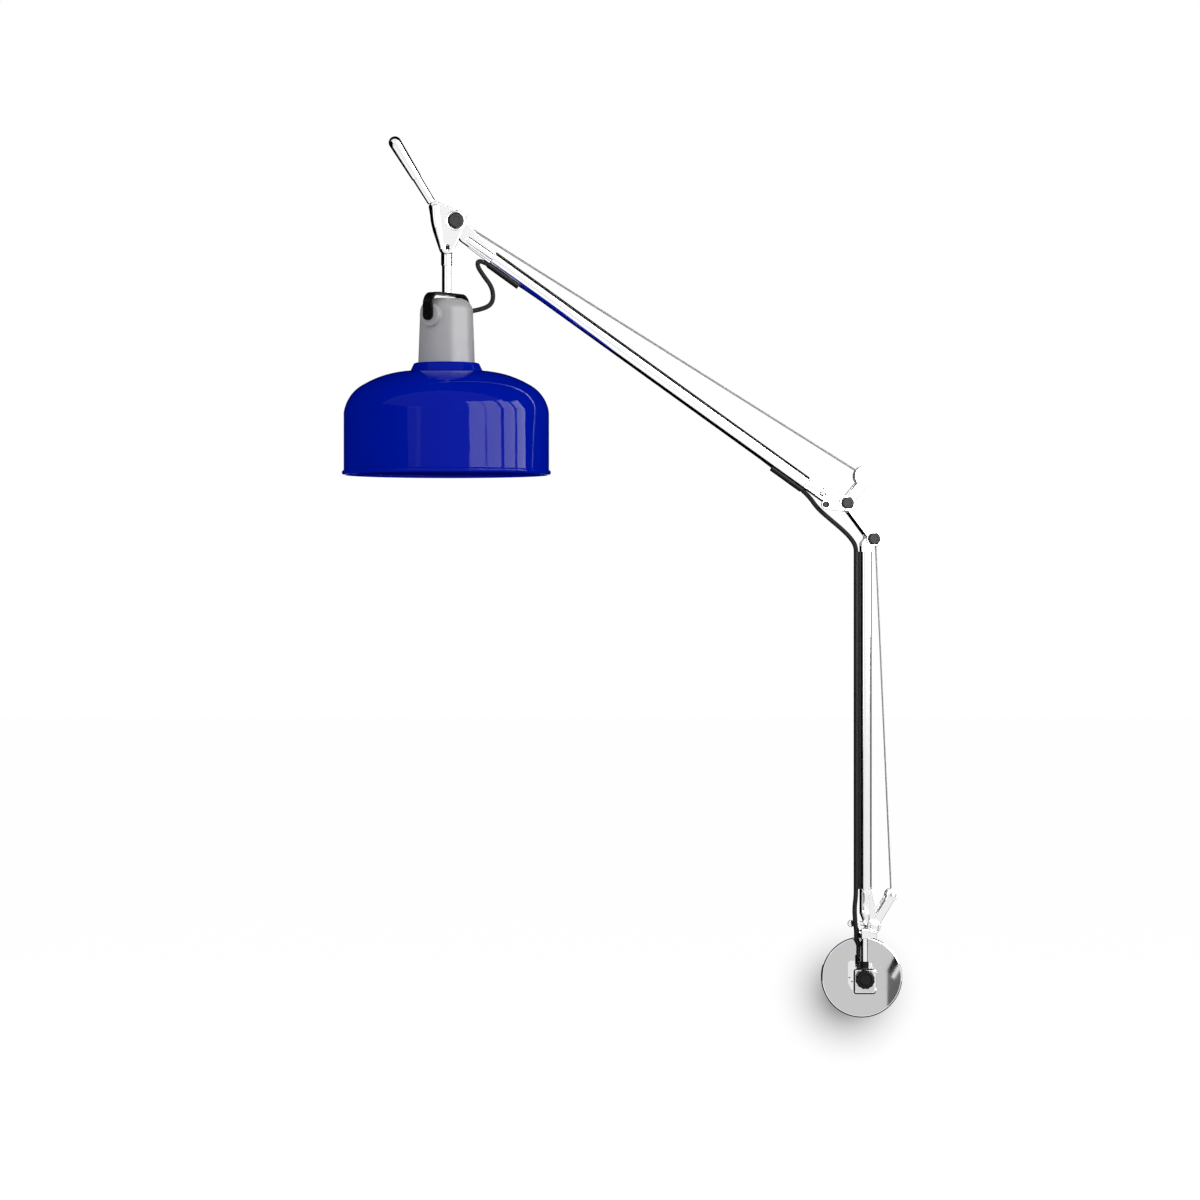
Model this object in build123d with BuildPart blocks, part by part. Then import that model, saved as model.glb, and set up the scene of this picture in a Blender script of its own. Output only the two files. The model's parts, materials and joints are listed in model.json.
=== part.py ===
"""Articulating wall lamp: wall rose, swivelling post, two sprung tube arms with an elbow
link between them, a head with a handle, and an enamelled shade on a porcelain lampholder.

Millimetres. Origin: middle of the rose's back face. The wall is the plane Y = 0 and the
lamp stands out from it towards -Y, with +X to the right and +Z up.
The arms lie in one upright plane through the post, ARM: its X runs to the right along the
wall, its Y is up and its Z is towards the viewer. It stands ARM_SWING degrees off the wall.
"""
import os
from math import atan2, cos, degrees, radians, sin, sqrt, tan
from build123d import *

os.makedirs("parts", exist_ok=True)

# ---------------------------------------------------------------- driving dimensions
# Fits and layers
RUN_FIT = 0.05            # radial clearance of a pin that turns in a bore
SLIP = 0.1                # clearance of a piece that is only placed in another
SIDE_GAP = 0.3            # air between two faces that turn past each other
KNUCKLE = 9.8             # thickness of an arm's end between the cheeks of the next piece
CHEEK = 2.6               # thickness of a fork's cheek
PIN_R = 2.0               # pivot bolts
SCREW_R = 1.5             # small screws

# Rose and hub
ROSE_D = 80.0
ROSE_DEPTH = 8.0
ROSE_WALL = 1.5
ROSE_EDGE = 1.2           # bevel round the rose
NOTCH_W = 13.0            # lead's way in at the bottom of the rose
NOTCH_H = 3.0
BACKPLATE_D = 74.0
BACKPLATE_T = 2.0
WALL_SCREW_PITCH = 50.0
WALL_SCREW_R = 2.25
POST_OUT = 45.0           # post axis to wall
HUB_W = 22.0
HUB_TOP = 12.4
HUB_BOTTOM = -12.6
HUB_NOSE = 8.5            # hub in front of the post axis
HUB_SCREW_PITCH = 17.4
HUB_CORNER = 3.0
NIPPLE_R = 3.5
KNOB_D = 18.4
KNOB_T = 10.0
KNOB_RISE = 2.5           # knob axis above the rose's middle

# Post
ARM_SWING = 10.0
STEM_D = 7.0
STEM_FOOT = -10.5
COLLAR_D = 8.8
COLLAR_H = 6.5
POST_PIVOT_U = 7.8        # first pivot from the post axis
POST_PIVOT_V = 53.3
POST_EYE_R = 6.6
POST_LEVER = 36.3
POST_LEVER_DEG = 57.9

# Arms: length, tube, and how far the tube lies beside the line of its pivots
LOWER_LEN = 378.9
LOWER_TUBE_D = 12.5
LOWER_TUBE_OFF = 6.85
LOWER_FOOT = 36.5         # pivot to tube
LOWER_NECK = 12.4         # tube to pivot
UPPER_LEN = 470.4
UPPER_DEG = 145.1
UPPER_TUBE_D = 14.0
UPPER_TUBE_OFF = 7.2
UPPER_FOOT = 44.0
UPPER_NECK = 50.4
TUBE_WALL = 0.8
SPIGOT = 14.0             # length of a casting inside its tube
FOOT_W = 9.3              # width of the castings at the tubes' ends
SPRING_R = 3.2
SHEAVE_R = 3.4            # middle of the wire on its sheave
SHEAVE_T = 3.6
SHEAVE_RIM = 4.8
SHEAVE_FLOOR = 2.32       # bottom of its groove
SHEAVE_GROOVE = 2.3
SLOT_W = 4.4              # slot of a fork
NECK_SHIFT = 0.2          # neck below the tube's middle
GROOVE_W = 1.4
GROOVE_DEEP = 0.8
SPRING_LEN = 190.0
SLIT = 36.0               # slit under each end of the upper tube
UPPER_WIRE_D = 2.1
LOWER_WIRE_D = 1.7

# Elbow
LINK_LEN = 43.9
LINK_DEG = 127.4
LINK_W = 8.4
EYE_A_R = 8.0
EYE_B_R = 7.5
ELBOW_LEVER = 39.7
ELBOW_LEVER_DEG = 51.1
LEVER_W = 8.6
ELBOW_DISC_R = 9.8
POST_ROLLER_R = 6.0
STOP_SCREW_OUT = 21.2
STOP_SCREW_R = 3.3
CAP_R = 5.7
CAP_H = 3.2

# Head and bail
HEAD_EYE_R = 9.7
HEAD_CAP_R = 7.2
HANDLE_TIP_R = 6.1
HANDLE_BASE_R = 4.2
HANDLE_LEN = 71.0
HANDLE_DEG = 122.0
ROD_D = 8.9
ROD_SIDE = 7.5            # rod axis to the left of the head pivot
BOSS_DROP = 25.7
SOCKET_D = 10.6
BAIL_TURN = 47.5          # bail out of the arms' plane
BAIL_TOP = 69.1           # bail's top below the head pivot
BAIL_T = 2.3
BAIL_W = 10.5
EAR_R = 11.2
EAR_OUT = 29.8            # face of an ear from the lampholder's axis
EAR_DROP = 91.6

# Lampholder and shade, as depths below the head pivot
HOLDER_TOP = 74.4
HOLDER_TOP_R = 25.4
HOLDER_FOOT_R = 27.2
HOLDER_ROUND = 13.0
COLLAR_TOP = 136.3
COLLAR_FOOT = 144.2
COLLAR_TOP_R = 31.7
COLLAR_FOOT_R = 34.9
SHADE_R = 98.7
SHADE_ROUND = 39.0        # height of the shade's shoulder
SHADE_BEAD = 241.5
BEAD_R = 2.35
SHEET = 1.1               # thickness of the shade's sheet steel
SOCKET_THREAD_R = 13.4    # screw lamp base
SLEEVE_R = 19.9
SLEEVE_FOOT = 168.0

# Lead
CABLE_D = 4.5
CABLE_OUT = 9.35          # lead's middle from the lower tube's middle
CHANNEL_WALL = 0.55
CABLE_IN = 10.85          # lead's middle from the pivot line, inside the upper tube
CABLE_END_A = 14.4        # and where it leaves the tube at the elbow
CABLE_END_H = 14.9        # and at the head

# ---------------------------------------------------------------- worked-out places
swing = radians(ARM_SWING)
ARM = Plane(origin=(0, -POST_OUT, 0), x_dir=(cos(swing), sin(swing), 0),
            z_dir=(sin(swing), -cos(swing), 0))
inner = KNUCKLE / 2 + SIDE_GAP        # inside face of a cheek
outer = inner + CHEEK                 # its outside face


def polar(start, length, angle):
    """Point at a length and an angle in the arms' plane."""
    return (start[0] + length * cos(radians(angle)), start[1] + length * sin(radians(angle)))


pivot_post = (POST_PIVOT_U, POST_PIVOT_V)
pivot_b = polar(pivot_post, LOWER_LEN, 90)
pivot_a = polar(pivot_b, LINK_LEN, LINK_DEG)
pivot_head = polar(pivot_a, UPPER_LEN, UPPER_DEG)


def arm_plane(pivot, angle):
    """Plane whose X runs along an arm from its pivot, with the tube on its Y side."""
    spot = ARM.from_local_coords(Vector(*pivot, 0))
    way = ARM.from_local_coords(Vector(*polar(pivot, 1, angle), 0)) - spot
    return Plane(origin=spot, x_dir=way, z_dir=ARM.z_dir)


LOWER = arm_plane(pivot_post, 90)
UPPER = arm_plane(pivot_a, UPPER_DEG)
made = {}


def save(builder, name):
    """Label a finished piece and write it."""
    builder.part.label = name
    made[name] = builder.part
    export_step(builder.part, f"parts/{name}.step")


def arm_point(u, v, w=0.0):
    """Point of the arms' plane in the lamp's own frame."""
    return ARM.from_local_coords(Vector(u, v, w))


# ================================================================ rose and hub
FACE = Plane(origin=(0, 0, 0), x_dir=(1, 0, 0), z_dir=(0, -1, 0))    # seen from the room

with BuildPart() as backplate:
    with BuildSketch(FACE):
        Circle(BACKPLATE_D / 2)
        with GridLocations(WALL_SCREW_PITCH, 0, 2, 1):
            Circle(WALL_SCREW_R, mode=Mode.SUBTRACT)
        with Locations((0, -BACKPLATE_D / 4)):
            SlotOverall(NOTCH_W, 2 * CABLE_D, mode=Mode.SUBTRACT)
    extrude(amount=BACKPLATE_T)
save(backplate, "backplate")

with BuildPart() as rose:
    with BuildSketch(FACE):
        Circle(ROSE_D / 2)
    extrude(amount=ROSE_DEPTH)
    chamfer(rose.edges().filter_by(GeomType.CIRCLE).sort_by(Axis.Y)[0], ROSE_EDGE)
    with BuildSketch(FACE):
        Circle(ROSE_D / 2 - ROSE_WALL)
    extrude(amount=ROSE_DEPTH - ROSE_WALL, mode=Mode.SUBTRACT)
    with BuildSketch(FACE.offset(ROSE_DEPTH - ROSE_WALL)):
        Circle(NIPPLE_R)
    extrude(amount=ROSE_WALL, mode=Mode.SUBTRACT)
    with BuildSketch(Plane.XY.offset(-ROSE_D / 2 - 1)):
        with Locations((0, -NOTCH_H / 2)):
            Rectangle(NOTCH_W, NOTCH_H)
    extrude(amount=1 + 2 * ROSE_WALL, mode=Mode.SUBTRACT)
save(rose, "rose")

# The hub's threaded tail runs through the rose and the backplate's nut plate.
hub_mid = (HUB_TOP + HUB_BOTTOM) / 2
hub_tall = HUB_TOP - HUB_BOTTOM
hub_deep = POST_OUT + HUB_NOSE - ROSE_DEPTH
cable_back = (COLLAR_D + CABLE_D) / 2 + SIDE_GAP          # lead's middle behind the post axis
with BuildPart() as hub:
    with BuildSketch(FACE.offset(ROSE_DEPTH)):
        with Locations((0, hub_mid)):
            RectangleRounded(HUB_W, hub_tall, HUB_CORNER)
    extrude(amount=hub_deep)
    chamfer(hub.faces().sort_by(Axis.Y)[0].edges(), HUB_CORNER / 2)
    with BuildSketch(Plane.XY.offset(STEM_FOOT - SLIP)):
        with Locations((0, -POST_OUT)):
            Circle(STEM_D / 2 + RUN_FIT)
    extrude(amount=HUB_TOP - STEM_FOOT + 1, mode=Mode.SUBTRACT)
    # lead's way: down behind the post and back through the nipple
    with BuildSketch(Plane.XY.offset(-CABLE_D / 2 - SLIP)):
        with Locations((0, -POST_OUT + cable_back)):
            Circle(CABLE_D / 2 + SLIP)
    extrude(amount=hub_tall, mode=Mode.SUBTRACT)
    with BuildSketch(FACE.offset(ROSE_DEPTH)):
        Circle(CABLE_D / 2 + SLIP)
    extrude(amount=POST_OUT - cable_back - ROSE_DEPTH, mode=Mode.SUBTRACT)
    with BuildSketch(Plane.XY.offset(-CABLE_D / 2 - SLIP)):
        with Locations((0, -POST_OUT + cable_back + CABLE_D)):
            Rectangle(CABLE_D + 2 * SLIP, 2 * CABLE_D)
    extrude(amount=2 * CABLE_D, mode=Mode.SUBTRACT)
    with BuildSketch(FACE.offset(POST_OUT)):
        with Locations((0, KNOB_RISE)):
            Circle(PIN_R + RUN_FIT)
    extrude(amount=HUB_NOSE + 1, mode=Mode.SUBTRACT)
save(hub, "hub")

with BuildPart() as hub_nipple:
    with BuildSketch(FACE.offset(BACKPLATE_T)):
        Circle(NIPPLE_R - SLIP)
        Circle(NIPPLE_R - 1.2, mode=Mode.SUBTRACT)
    extrude(amount=ROSE_DEPTH - BACKPLATE_T)
    with BuildSketch(FACE.offset(BACKPLATE_T)):
        RegularPolygon(NIPPLE_R + 2.6, 6)
        Circle(NIPPLE_R - 1.2, mode=Mode.SUBTRACT)
    extrude(amount=ROSE_DEPTH - ROSE_WALL - BACKPLATE_T)
save(hub_nipple, "hub_nipple")

SIDE = Plane(origin=(HUB_W / 2, -POST_OUT, hub_mid), x_dir=(0, 1, 0), z_dir=(1, 0, 0))
with BuildPart() as hub_screws:
    with BuildSketch(SIDE):
        with GridLocations(0, HUB_SCREW_PITCH, 1, 2):
            Circle(SCREW_R)
    extrude(amount=1.2)
    chamfer(hub_screws.faces().group_by(Axis.X)[-1].edges(), 0.3)
    with BuildSketch(SIDE.offset(0.7)):
        with GridLocations(0, HUB_SCREW_PITCH, 1, 2):
            Rectangle(2 * SCREW_R, 0.4)
    extrude(amount=1.2, mode=Mode.SUBTRACT)
save(hub_screws, "hub_screws")

knob_face = POST_OUT + HUB_NOSE + SIDE_GAP
with BuildPart() as clamp_knob:
    with BuildSketch(FACE.offset(knob_face)):
        with Locations((0, KNOB_RISE)):
            Circle(KNOB_D / 2)
    extrude(amount=KNOB_T)
    chamfer(clamp_knob.faces().sort_by(Axis.Y)[0].edges(), 1.5)
    with BuildSketch(FACE.offset(knob_face + KNOB_T - 1.2)):
        with Locations((0, KNOB_RISE)):
            Circle(KNOB_D * 0.35)
            Circle(KNOB_D * 0.28, mode=Mode.SUBTRACT)
    extrude(amount=2, mode=Mode.SUBTRACT)
    with BuildSketch(FACE.offset(knob_face)):
        with Locations((0, KNOB_RISE)):
            with PolarLocations(KNOB_D / 2 + 0.9, 12):
                Circle(1.5)
    extrude(amount=KNOB_T, mode=Mode.SUBTRACT)
    with BuildSketch(FACE.offset(POST_OUT + STEM_D / 2 + 2 * RUN_FIT)):
        with Locations((0, KNOB_RISE)):
            Circle(PIN_R)
    extrude(amount=knob_face - POST_OUT - STEM_D / 2)
save(clamp_knob, "clamp_knob")

# Porcelain terminal block behind the rose, below the nipple.
block_top = -STEM_D - 4
with BuildPart() as terminal_block:
    with BuildSketch(FACE.offset(BACKPLATE_T)):
        with Locations((-WALL_SCREW_PITCH / 4, block_top)):
            RectangleRounded(16, 9, 1)
    extrude(amount=ROSE_DEPTH - ROSE_WALL - BACKPLATE_T - SLIP)
    with BuildSketch(FACE.offset(BACKPLATE_T)):
        with Locations((-WALL_SCREW_PITCH / 4, block_top)):
            with GridLocations(6, 0, 2, 1):
                Circle(SCREW_R)
    extrude(amount=ROSE_DEPTH, mode=Mode.SUBTRACT)
save(terminal_block, "terminal_block")

# ================================================================ post
post_floor = POST_PIVOT_V - POST_EYE_R - SIDE_GAP
with BuildPart() as stem:
    with BuildSketch(Plane.XY.offset(STEM_FOOT)):
        with Locations((0, -POST_OUT)):
            Circle(STEM_D / 2)
    extrude(amount=post_floor - 1.5 - STEM_FOOT)
save(stem, "stem")

with BuildPart() as stem_collar:
    with BuildSketch(Plane.XY.offset(HUB_TOP + RUN_FIT)):
        with Locations((0, -POST_OUT)):
            Circle(COLLAR_D / 2)
            Circle(STEM_D / 2, mode=Mode.SUBTRACT)
    extrude(amount=COLLAR_H)
    chamfer(stem_collar.faces().sort_by(Axis.Z)[-1].edges(), 0.3)
save(stem_collar, "stem_collar")


def lever_outline(start, length, angle, width, eye):
    """Flat lever with a round end, joined to the eye that it springs from."""
    tip = polar(start, length, angle)
    middle = polar(start, length / 2, angle)
    with Locations(start):
        Circle(eye)
    with Locations(tip):
        Circle(width / 2)
    with Locations(Location(middle, angle)):
        Rectangle(length, width)


post_lever_tip = polar(pivot_post, POST_LEVER, POST_LEVER_DEG)
hook = (pivot_post[0] - 19.4, pivot_post[1] + 2.3)
FLOOR_T = 4.6
floor_w = STEM_D / 2 + 1.1 + POST_PIVOT_U + POST_EYE_R / 2
floor_mid = floor_w / 2 - STEM_D / 2 - 1.1
with BuildPart() as post_head:
    for side in (-outer, inner):
        with BuildSketch(ARM.offset(side)):
            lever_outline(pivot_post, POST_LEVER, POST_LEVER_DEG, LEVER_W - 0.8, POST_EYE_R)
            with Locations((floor_mid, post_floor)):
                Rectangle(floor_w, 2 * FLOOR_T)
        extrude(amount=CHEEK)
    # floor that ties the cheeks and takes the stem
    with BuildSketch(ARM.offset(-outer)):
        with Locations((floor_mid, post_floor - FLOOR_T / 2)):
            Rectangle(floor_w, FLOOR_T)
    extrude(amount=2 * outer)
    # arm at the back that the lead rests on
    with BuildSketch(ARM.offset(-outer)):
        with Locations(hook):
            Circle(3.5)
        with Locations(((hook[0] + pivot_post[0]) / 2, hook[1])):
            Rectangle(pivot_post[0] - hook[0], 4.5)
    extrude(amount=CHEEK)
    with BuildSketch(ARM.offset(-outer)):
        with Locations(pivot_post, post_lever_tip):
            Circle(PIN_R + RUN_FIT)
    extrude(amount=2 * outer, mode=Mode.SUBTRACT)
    with BuildSketch(Plane.XY.offset(post_floor - 20)):
        with Locations((0, -POST_OUT)):
            Circle(STEM_D / 2)
    extrude(amount=18.5, mode=Mode.SUBTRACT)
save(post_head, "post_head")


def bolt(spot, reach, head_r, head_h, capped=False):
    """Bolt across the cheeks: pin, ringed head in front unless capped, and nut behind."""
    with BuildPart() as piece:
        with BuildSketch(ARM.offset(-reach)):
            with Locations(spot):
                Circle(PIN_R)
        extrude(amount=2 * reach)
        with BuildSketch(ARM.offset(-reach)):
            with Locations(spot):
                RegularPolygon(head_r, 6)
        extrude(amount=-head_h)
        if not capped:
            with BuildSketch(ARM.offset(reach)):
                with Locations(spot):
                    Circle(head_r)
            extrude(amount=head_h)
            with BuildSketch(ARM.offset(reach + head_h - 0.6)):
                with Locations(spot):
                    Circle(0.82 * head_r)
                    Circle(0.6 * head_r, mode=Mode.SUBTRACT)
            extrude(amount=1, mode=Mode.SUBTRACT)
    return piece


def grooved_disc(spot, radius, thick, groove, bore, groove_w, bore_at=None):
    """Grooved disc or sheave on a pin, in the middle of the arms' plane."""
    with BuildPart() as piece:
        with BuildSketch(ARM.offset(-thick / 2)):
            with Locations(spot):
                Circle(radius)
        extrude(amount=thick)
        with BuildSketch(ARM.offset(-groove_w / 2)):
            with Locations(spot):
                Circle(radius + 1)
                Circle(radius - groove, mode=Mode.SUBTRACT)
        extrude(amount=groove_w, mode=Mode.SUBTRACT)
        with BuildSketch(ARM.offset(-thick)):
            with Locations(bore_at or spot):
                Circle(bore)
        extrude(amount=2 * thick, mode=Mode.SUBTRACT)
    return piece


post_bolt = bolt(pivot_post, outer, 4.4, 2.0)
save(post_bolt, "post_pivot_bolt")
post_lever_bolt = bolt(post_lever_tip, outer, 3.2, 1.8)
save(post_lever_bolt, "post_lever_bolt")
post_roller = grooved_disc(post_lever_tip, POST_ROLLER_R, 2 * inner - 2 * SLIP, 1.2,
                           PIN_R + RUN_FIT, LOWER_WIRE_D + 2 * SIDE_GAP)
save(post_roller, "post_roller")


# ================================================================ arms
def across(plane, along, off):
    """Plane square to an arm: its X is the tube's side and its Y is towards the viewer."""
    return Plane(origin=plane.from_local_coords(Vector(along, off, 0)), x_dir=plane.y_dir,
                 z_dir=plane.x_dir)


def tangent_point(centre, radius, point, side):
    """Where a line from a point touches a circle, on its left (1) or right (-1)."""
    dx, dy = point[0] - centre[0], point[1] - centre[1]
    far = sqrt(dx * dx + dy * dy)
    turn = atan2(dy, dx) + side * atan2(sqrt(far * far - radius * radius), radius)
    return (centre[0] + radius * cos(turn), centre[1] + radius * sin(turn))


def tube(plane, start, end, diameter, off, slit=0.0):
    """Arm tube, slit underneath at both ends where the lead runs in and out."""
    with BuildPart() as piece:
        with BuildSketch(across(plane, start, off)):
            Circle(diameter / 2)
            Circle(diameter / 2 - TUBE_WALL, mode=Mode.SUBTRACT)
        extrude(amount=end - start)
        if slit:
            for place in (start, end - slit):
                with BuildSketch(across(plane, place, off + diameter / 2)):
                    Rectangle(5 * TUBE_WALL, CABLE_D + 4 * SLIP)
                extrude(amount=slit, mode=Mode.SUBTRACT)
    return piece


def spring(plane, start, end, off, radius):
    """Close-wound tension spring: a sleeve with a plug in each end."""
    plug = 3.0
    with BuildPart() as piece:
        with BuildSketch(across(plane, start, off)):
            Circle(radius)
        extrude(amount=end - start)
        with BuildSketch(across(plane, start + plug, off)):
            Circle(radius - 1)
        extrude(amount=end - start - 2 * plug, mode=Mode.SUBTRACT)
    return piece


def end_casting(plane, pivot, mouth, diameter, off, eye, fork=False, bay=0.0):
    """Casting at a tube's end: a spigot in the tube, a flat neck and a round pivot eye.

    pivot and mouth are distances along the arm. A fork is open for a sheave and its wire,
    and a bay is the lead's room on the tube's side, from the tube's middle outwards.
    """
    way = 1 if mouth > pivot else -1
    neck = abs(mouth - pivot)
    low = off - FOOT_W / 2 + NECK_SHIFT
    near = min(0.35 * neck, 16)
    plug_r = diameter / 2 - TUBE_WALL - RUN_FIT
    with BuildPart() as piece:
        with BuildSketch(plane.offset(-KNUCKLE / 2)):
            with Locations((pivot, 0)):
                Circle(eye)
            with Locations((pivot + way * (near + neck) / 2, low + FOOT_W / 2)):
                Rectangle(neck - near, FOOT_W)
            make_hull()
        extrude(amount=KNUCKLE)
        with BuildSketch(across(plane, mouth, off)):
            Circle(plug_r)
            if bay:
                with Locations((plug_r, 0)):
                    Rectangle(2 * (plug_r - bay), diameter, mode=Mode.SUBTRACT)
        extrude(amount=way * SPIGOT)
        if fork:
            # room for the sheave at the eye, and for the wire along the neck
            with BuildSketch(plane.offset(-SLOT_W / 2)):
                with Locations((pivot, 0)):
                    Rectangle(2 * (eye + SIDE_GAP), 4 * eye)
                with Locations((pivot + way * (neck + SPIGOT) / 2, 0)):
                    Rectangle(neck + SPIGOT + 1, 2 * (SHEAVE_RIM + SIDE_GAP))
            extrude(amount=SLOT_W, mode=Mode.SUBTRACT)
        # long groove in both faces, along the wire
        groove_at = low + FOOT_W * (0.55 if fork else 0.78)
        if neck > 2 * FOOT_W:
            for face in (-KNUCKLE / 2, KNUCKLE / 2 - GROOVE_DEEP):
                with BuildSketch(plane.offset(face)):
                    with Locations((pivot + way * (near + neck) / 2, groove_at)):
                        SlotOverall(0.8 * (neck - near), GROOVE_W)
                extrude(amount=GROOVE_DEEP, mode=Mode.SUBTRACT)
        with BuildSketch(plane.offset(-KNUCKLE)):
            with Locations((pivot, 0)):
                Circle(PIN_R + RUN_FIT)
        extrude(amount=2 * KNUCKLE, mode=Mode.SUBTRACT)
    return piece


def sheave(spot):
    """Grooved wheel that the spring's wire turns round at an arm's far pivot."""
    return grooved_disc(spot, SHEAVE_RIM, SHEAVE_T, SHEAVE_RIM - SHEAVE_FLOOR,
                        PIN_R + RUN_FIT, SHEAVE_GROOVE)


def sheave_wire(plane, length, start, off, radius, leave):
    """Wire from a spring's end round the sheave to the point where it leaves the arm."""
    last = plane.to_local_coords(arm_point(*leave))
    touch = tangent_point((length, 0), SHEAVE_R, (start, off), -1)
    with BuildPart() as piece:
        with BuildLine(plane) as route:
            Line((start, off), touch)
            ThreePointArc(touch, (length + SHEAVE_R, 0), (last.X, last.Y))
        with BuildSketch(across(plane, start, off)):
            Circle(radius)
        sweep(path=route.line, transition=Transition.ROUND)
    return piece


def straight_wire(start, end, radius):
    """Taut wire between two points of the arms' plane."""
    run = Vector(end[0] - start[0], end[1] - start[1])
    head = arm_point(*start)
    way = arm_point(*end) - head
    with BuildPart() as piece:
        with BuildSketch(Plane(origin=head, z_dir=way)):
            Circle(radius)
        extrude(amount=run.length)
    return piece


def set_screws(plane, spots):
    """Small headless screws that stand a little proud of a casting's front face."""
    with BuildPart() as piece:
        with BuildSketch(plane.offset(KNUCKLE / 2)):
            with Locations(*spots):
                Circle(SCREW_R)
        extrude(amount=0.25)
    return piece


# Lower arm
lower_end = LOWER_LEN - LOWER_NECK
save(tube(LOWER, LOWER_FOOT, lower_end, LOWER_TUBE_D, LOWER_TUBE_OFF), "lower_tube")
save(end_casting(LOWER, 0, LOWER_FOOT, LOWER_TUBE_D, LOWER_TUBE_OFF, POST_EYE_R - 0.4),
     "lower_foot")
save(end_casting(LOWER, LOWER_LEN, lower_end, LOWER_TUBE_D, LOWER_TUBE_OFF, EYE_B_R - 0.7,
                 fork=True), "lower_fork")
lower_spring_end = LOWER_FOOT + SPIGOT + SPRING_LEN
save(spring(LOWER, LOWER_FOOT + SPIGOT, lower_spring_end, LOWER_TUBE_OFF - 1, SPRING_R + 0.6),
     "lower_spring")
save(sheave(pivot_b), "lower_sheave")
lower_wire_top = tangent_point(pivot_b, SHEAVE_R, post_lever_tip, 1)
save(sheave_wire(LOWER, LOWER_LEN, lower_spring_end, LOWER_TUBE_OFF - 1, LOWER_WIRE_D / 2,
                 lower_wire_top), "lower_sheave_wire")
reach = POST_ROLLER_R + SIDE_GAP
to_roller = atan2(lower_wire_top[1] - post_lever_tip[1], lower_wire_top[0] - post_lever_tip[0])
lower_wire_foot = polar(post_lever_tip, reach, degrees(to_roller))
save(straight_wire(lower_wire_foot, lower_wire_top, LOWER_WIRE_D / 2), "lower_tension_wire")
save(set_screws(LOWER, [(LOWER_FOOT * 0.75, LOWER_TUBE_OFF - 1)]), "lower_set_screw")

# Upper arm
upper_end = UPPER_LEN - UPPER_NECK
bay = CABLE_IN - CABLE_D / 2 - SLIP - UPPER_TUBE_OFF
save(tube(UPPER, UPPER_FOOT, upper_end, UPPER_TUBE_D, UPPER_TUBE_OFF, 1.3 * SLIT),
     "upper_tube")
save(end_casting(UPPER, 0, UPPER_FOOT, UPPER_TUBE_D, UPPER_TUBE_OFF, EYE_A_R - 1.2,
                 bay=bay), "upper_foot")
save(end_casting(UPPER, UPPER_LEN, upper_end, UPPER_TUBE_D, UPPER_TUBE_OFF, HEAD_EYE_R - 2.2,
                 fork=True, bay=bay), "upper_fork")
upper_spring_off = UPPER_TUBE_OFF - 2.7
upper_spring_end = UPPER_FOOT + SPIGOT + SPRING_LEN
save(spring(UPPER, UPPER_FOOT + SPIGOT, upper_spring_end, upper_spring_off, SPRING_R),
     "upper_spring")
save(sheave(pivot_head), "upper_sheave")
elbow_disc_at = polar(polar(pivot_a, 31.9, ELBOW_LEVER_DEG), 2.5, ELBOW_LEVER_DEG + 90)
upper_wire_top = tangent_point(pivot_head, SHEAVE_R, elbow_disc_at, 1)
save(sheave_wire(UPPER, UPPER_LEN, upper_spring_end, upper_spring_off, UPPER_WIRE_D / 2,
                 upper_wire_top), "upper_sheave_wire")
to_disc = atan2(upper_wire_top[1] - elbow_disc_at[1], upper_wire_top[0] - elbow_disc_at[0])
upper_wire_foot = polar(elbow_disc_at, ELBOW_DISC_R + SIDE_GAP, degrees(to_disc))
save(straight_wire(upper_wire_foot, upper_wire_top, UPPER_WIRE_D / 2), "upper_tension_wire")
save(set_screws(UPPER, [(22, 5.2), (UPPER_FOOT - 6, 5.5)]), "upper_set_screws")

# Guides under the upper tube, where the lead runs in and out of its slits
with BuildPart() as lead_guides:
    for mouth, way, end_off in ((UPPER_FOOT, 1, CABLE_END_A), (upper_end, -1, CABLE_END_H)):
        with BuildSketch(across(UPPER, mouth, end_off)):
            Circle(CABLE_D / 2 + 0.8)
            with Locations((UPPER_TUBE_OFF - end_off, 0)):
                Circle(UPPER_TUBE_D / 2 + 0.02, mode=Mode.SUBTRACT)
        extrude(amount=way * SLIT)
    for mouth, way, end_off in ((UPPER_FOOT, 1, CABLE_END_A), (upper_end, -1, CABLE_END_H)):
        outside = UPPER.from_local_coords(Vector(mouth, end_off, 0))
        run = UPPER.from_local_coords(Vector(mouth + way * SLIT, CABLE_IN, 0)) - outside
        with BuildSketch(Plane(origin=outside - run * 0.1, z_dir=run)):
            Circle(CABLE_D / 2 + SLIP)
        extrude(amount=run.length * 1.2, mode=Mode.SUBTRACT)
save(lead_guides, "lead_guides")

# Channel that holds the lead against the lower tube
channel_r = CABLE_D / 2 + SLIP + CHANNEL_WALL
with BuildPart() as lead_channel:
    with BuildSketch(across(LOWER, LOWER_FOOT, LOWER_TUBE_OFF)):
        with Locations((CABLE_OUT, 0)):
            Circle(channel_r)
        with Locations((CABLE_OUT - channel_r, 0)):
            Rectangle(2 * channel_r, channel_r)
        with Locations((CABLE_OUT, 0)):
            Circle(CABLE_D / 2 + SLIP, mode=Mode.SUBTRACT)
        with Locations((CABLE_OUT + channel_r, 0)):
            Rectangle(channel_r, 2 * channel_r, mode=Mode.SUBTRACT)
        Circle(LOWER_TUBE_D / 2 + 0.02, mode=Mode.SUBTRACT)
    extrude(amount=lower_end - LOWER_FOOT)
save(lead_channel, "lead_channel")

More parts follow.
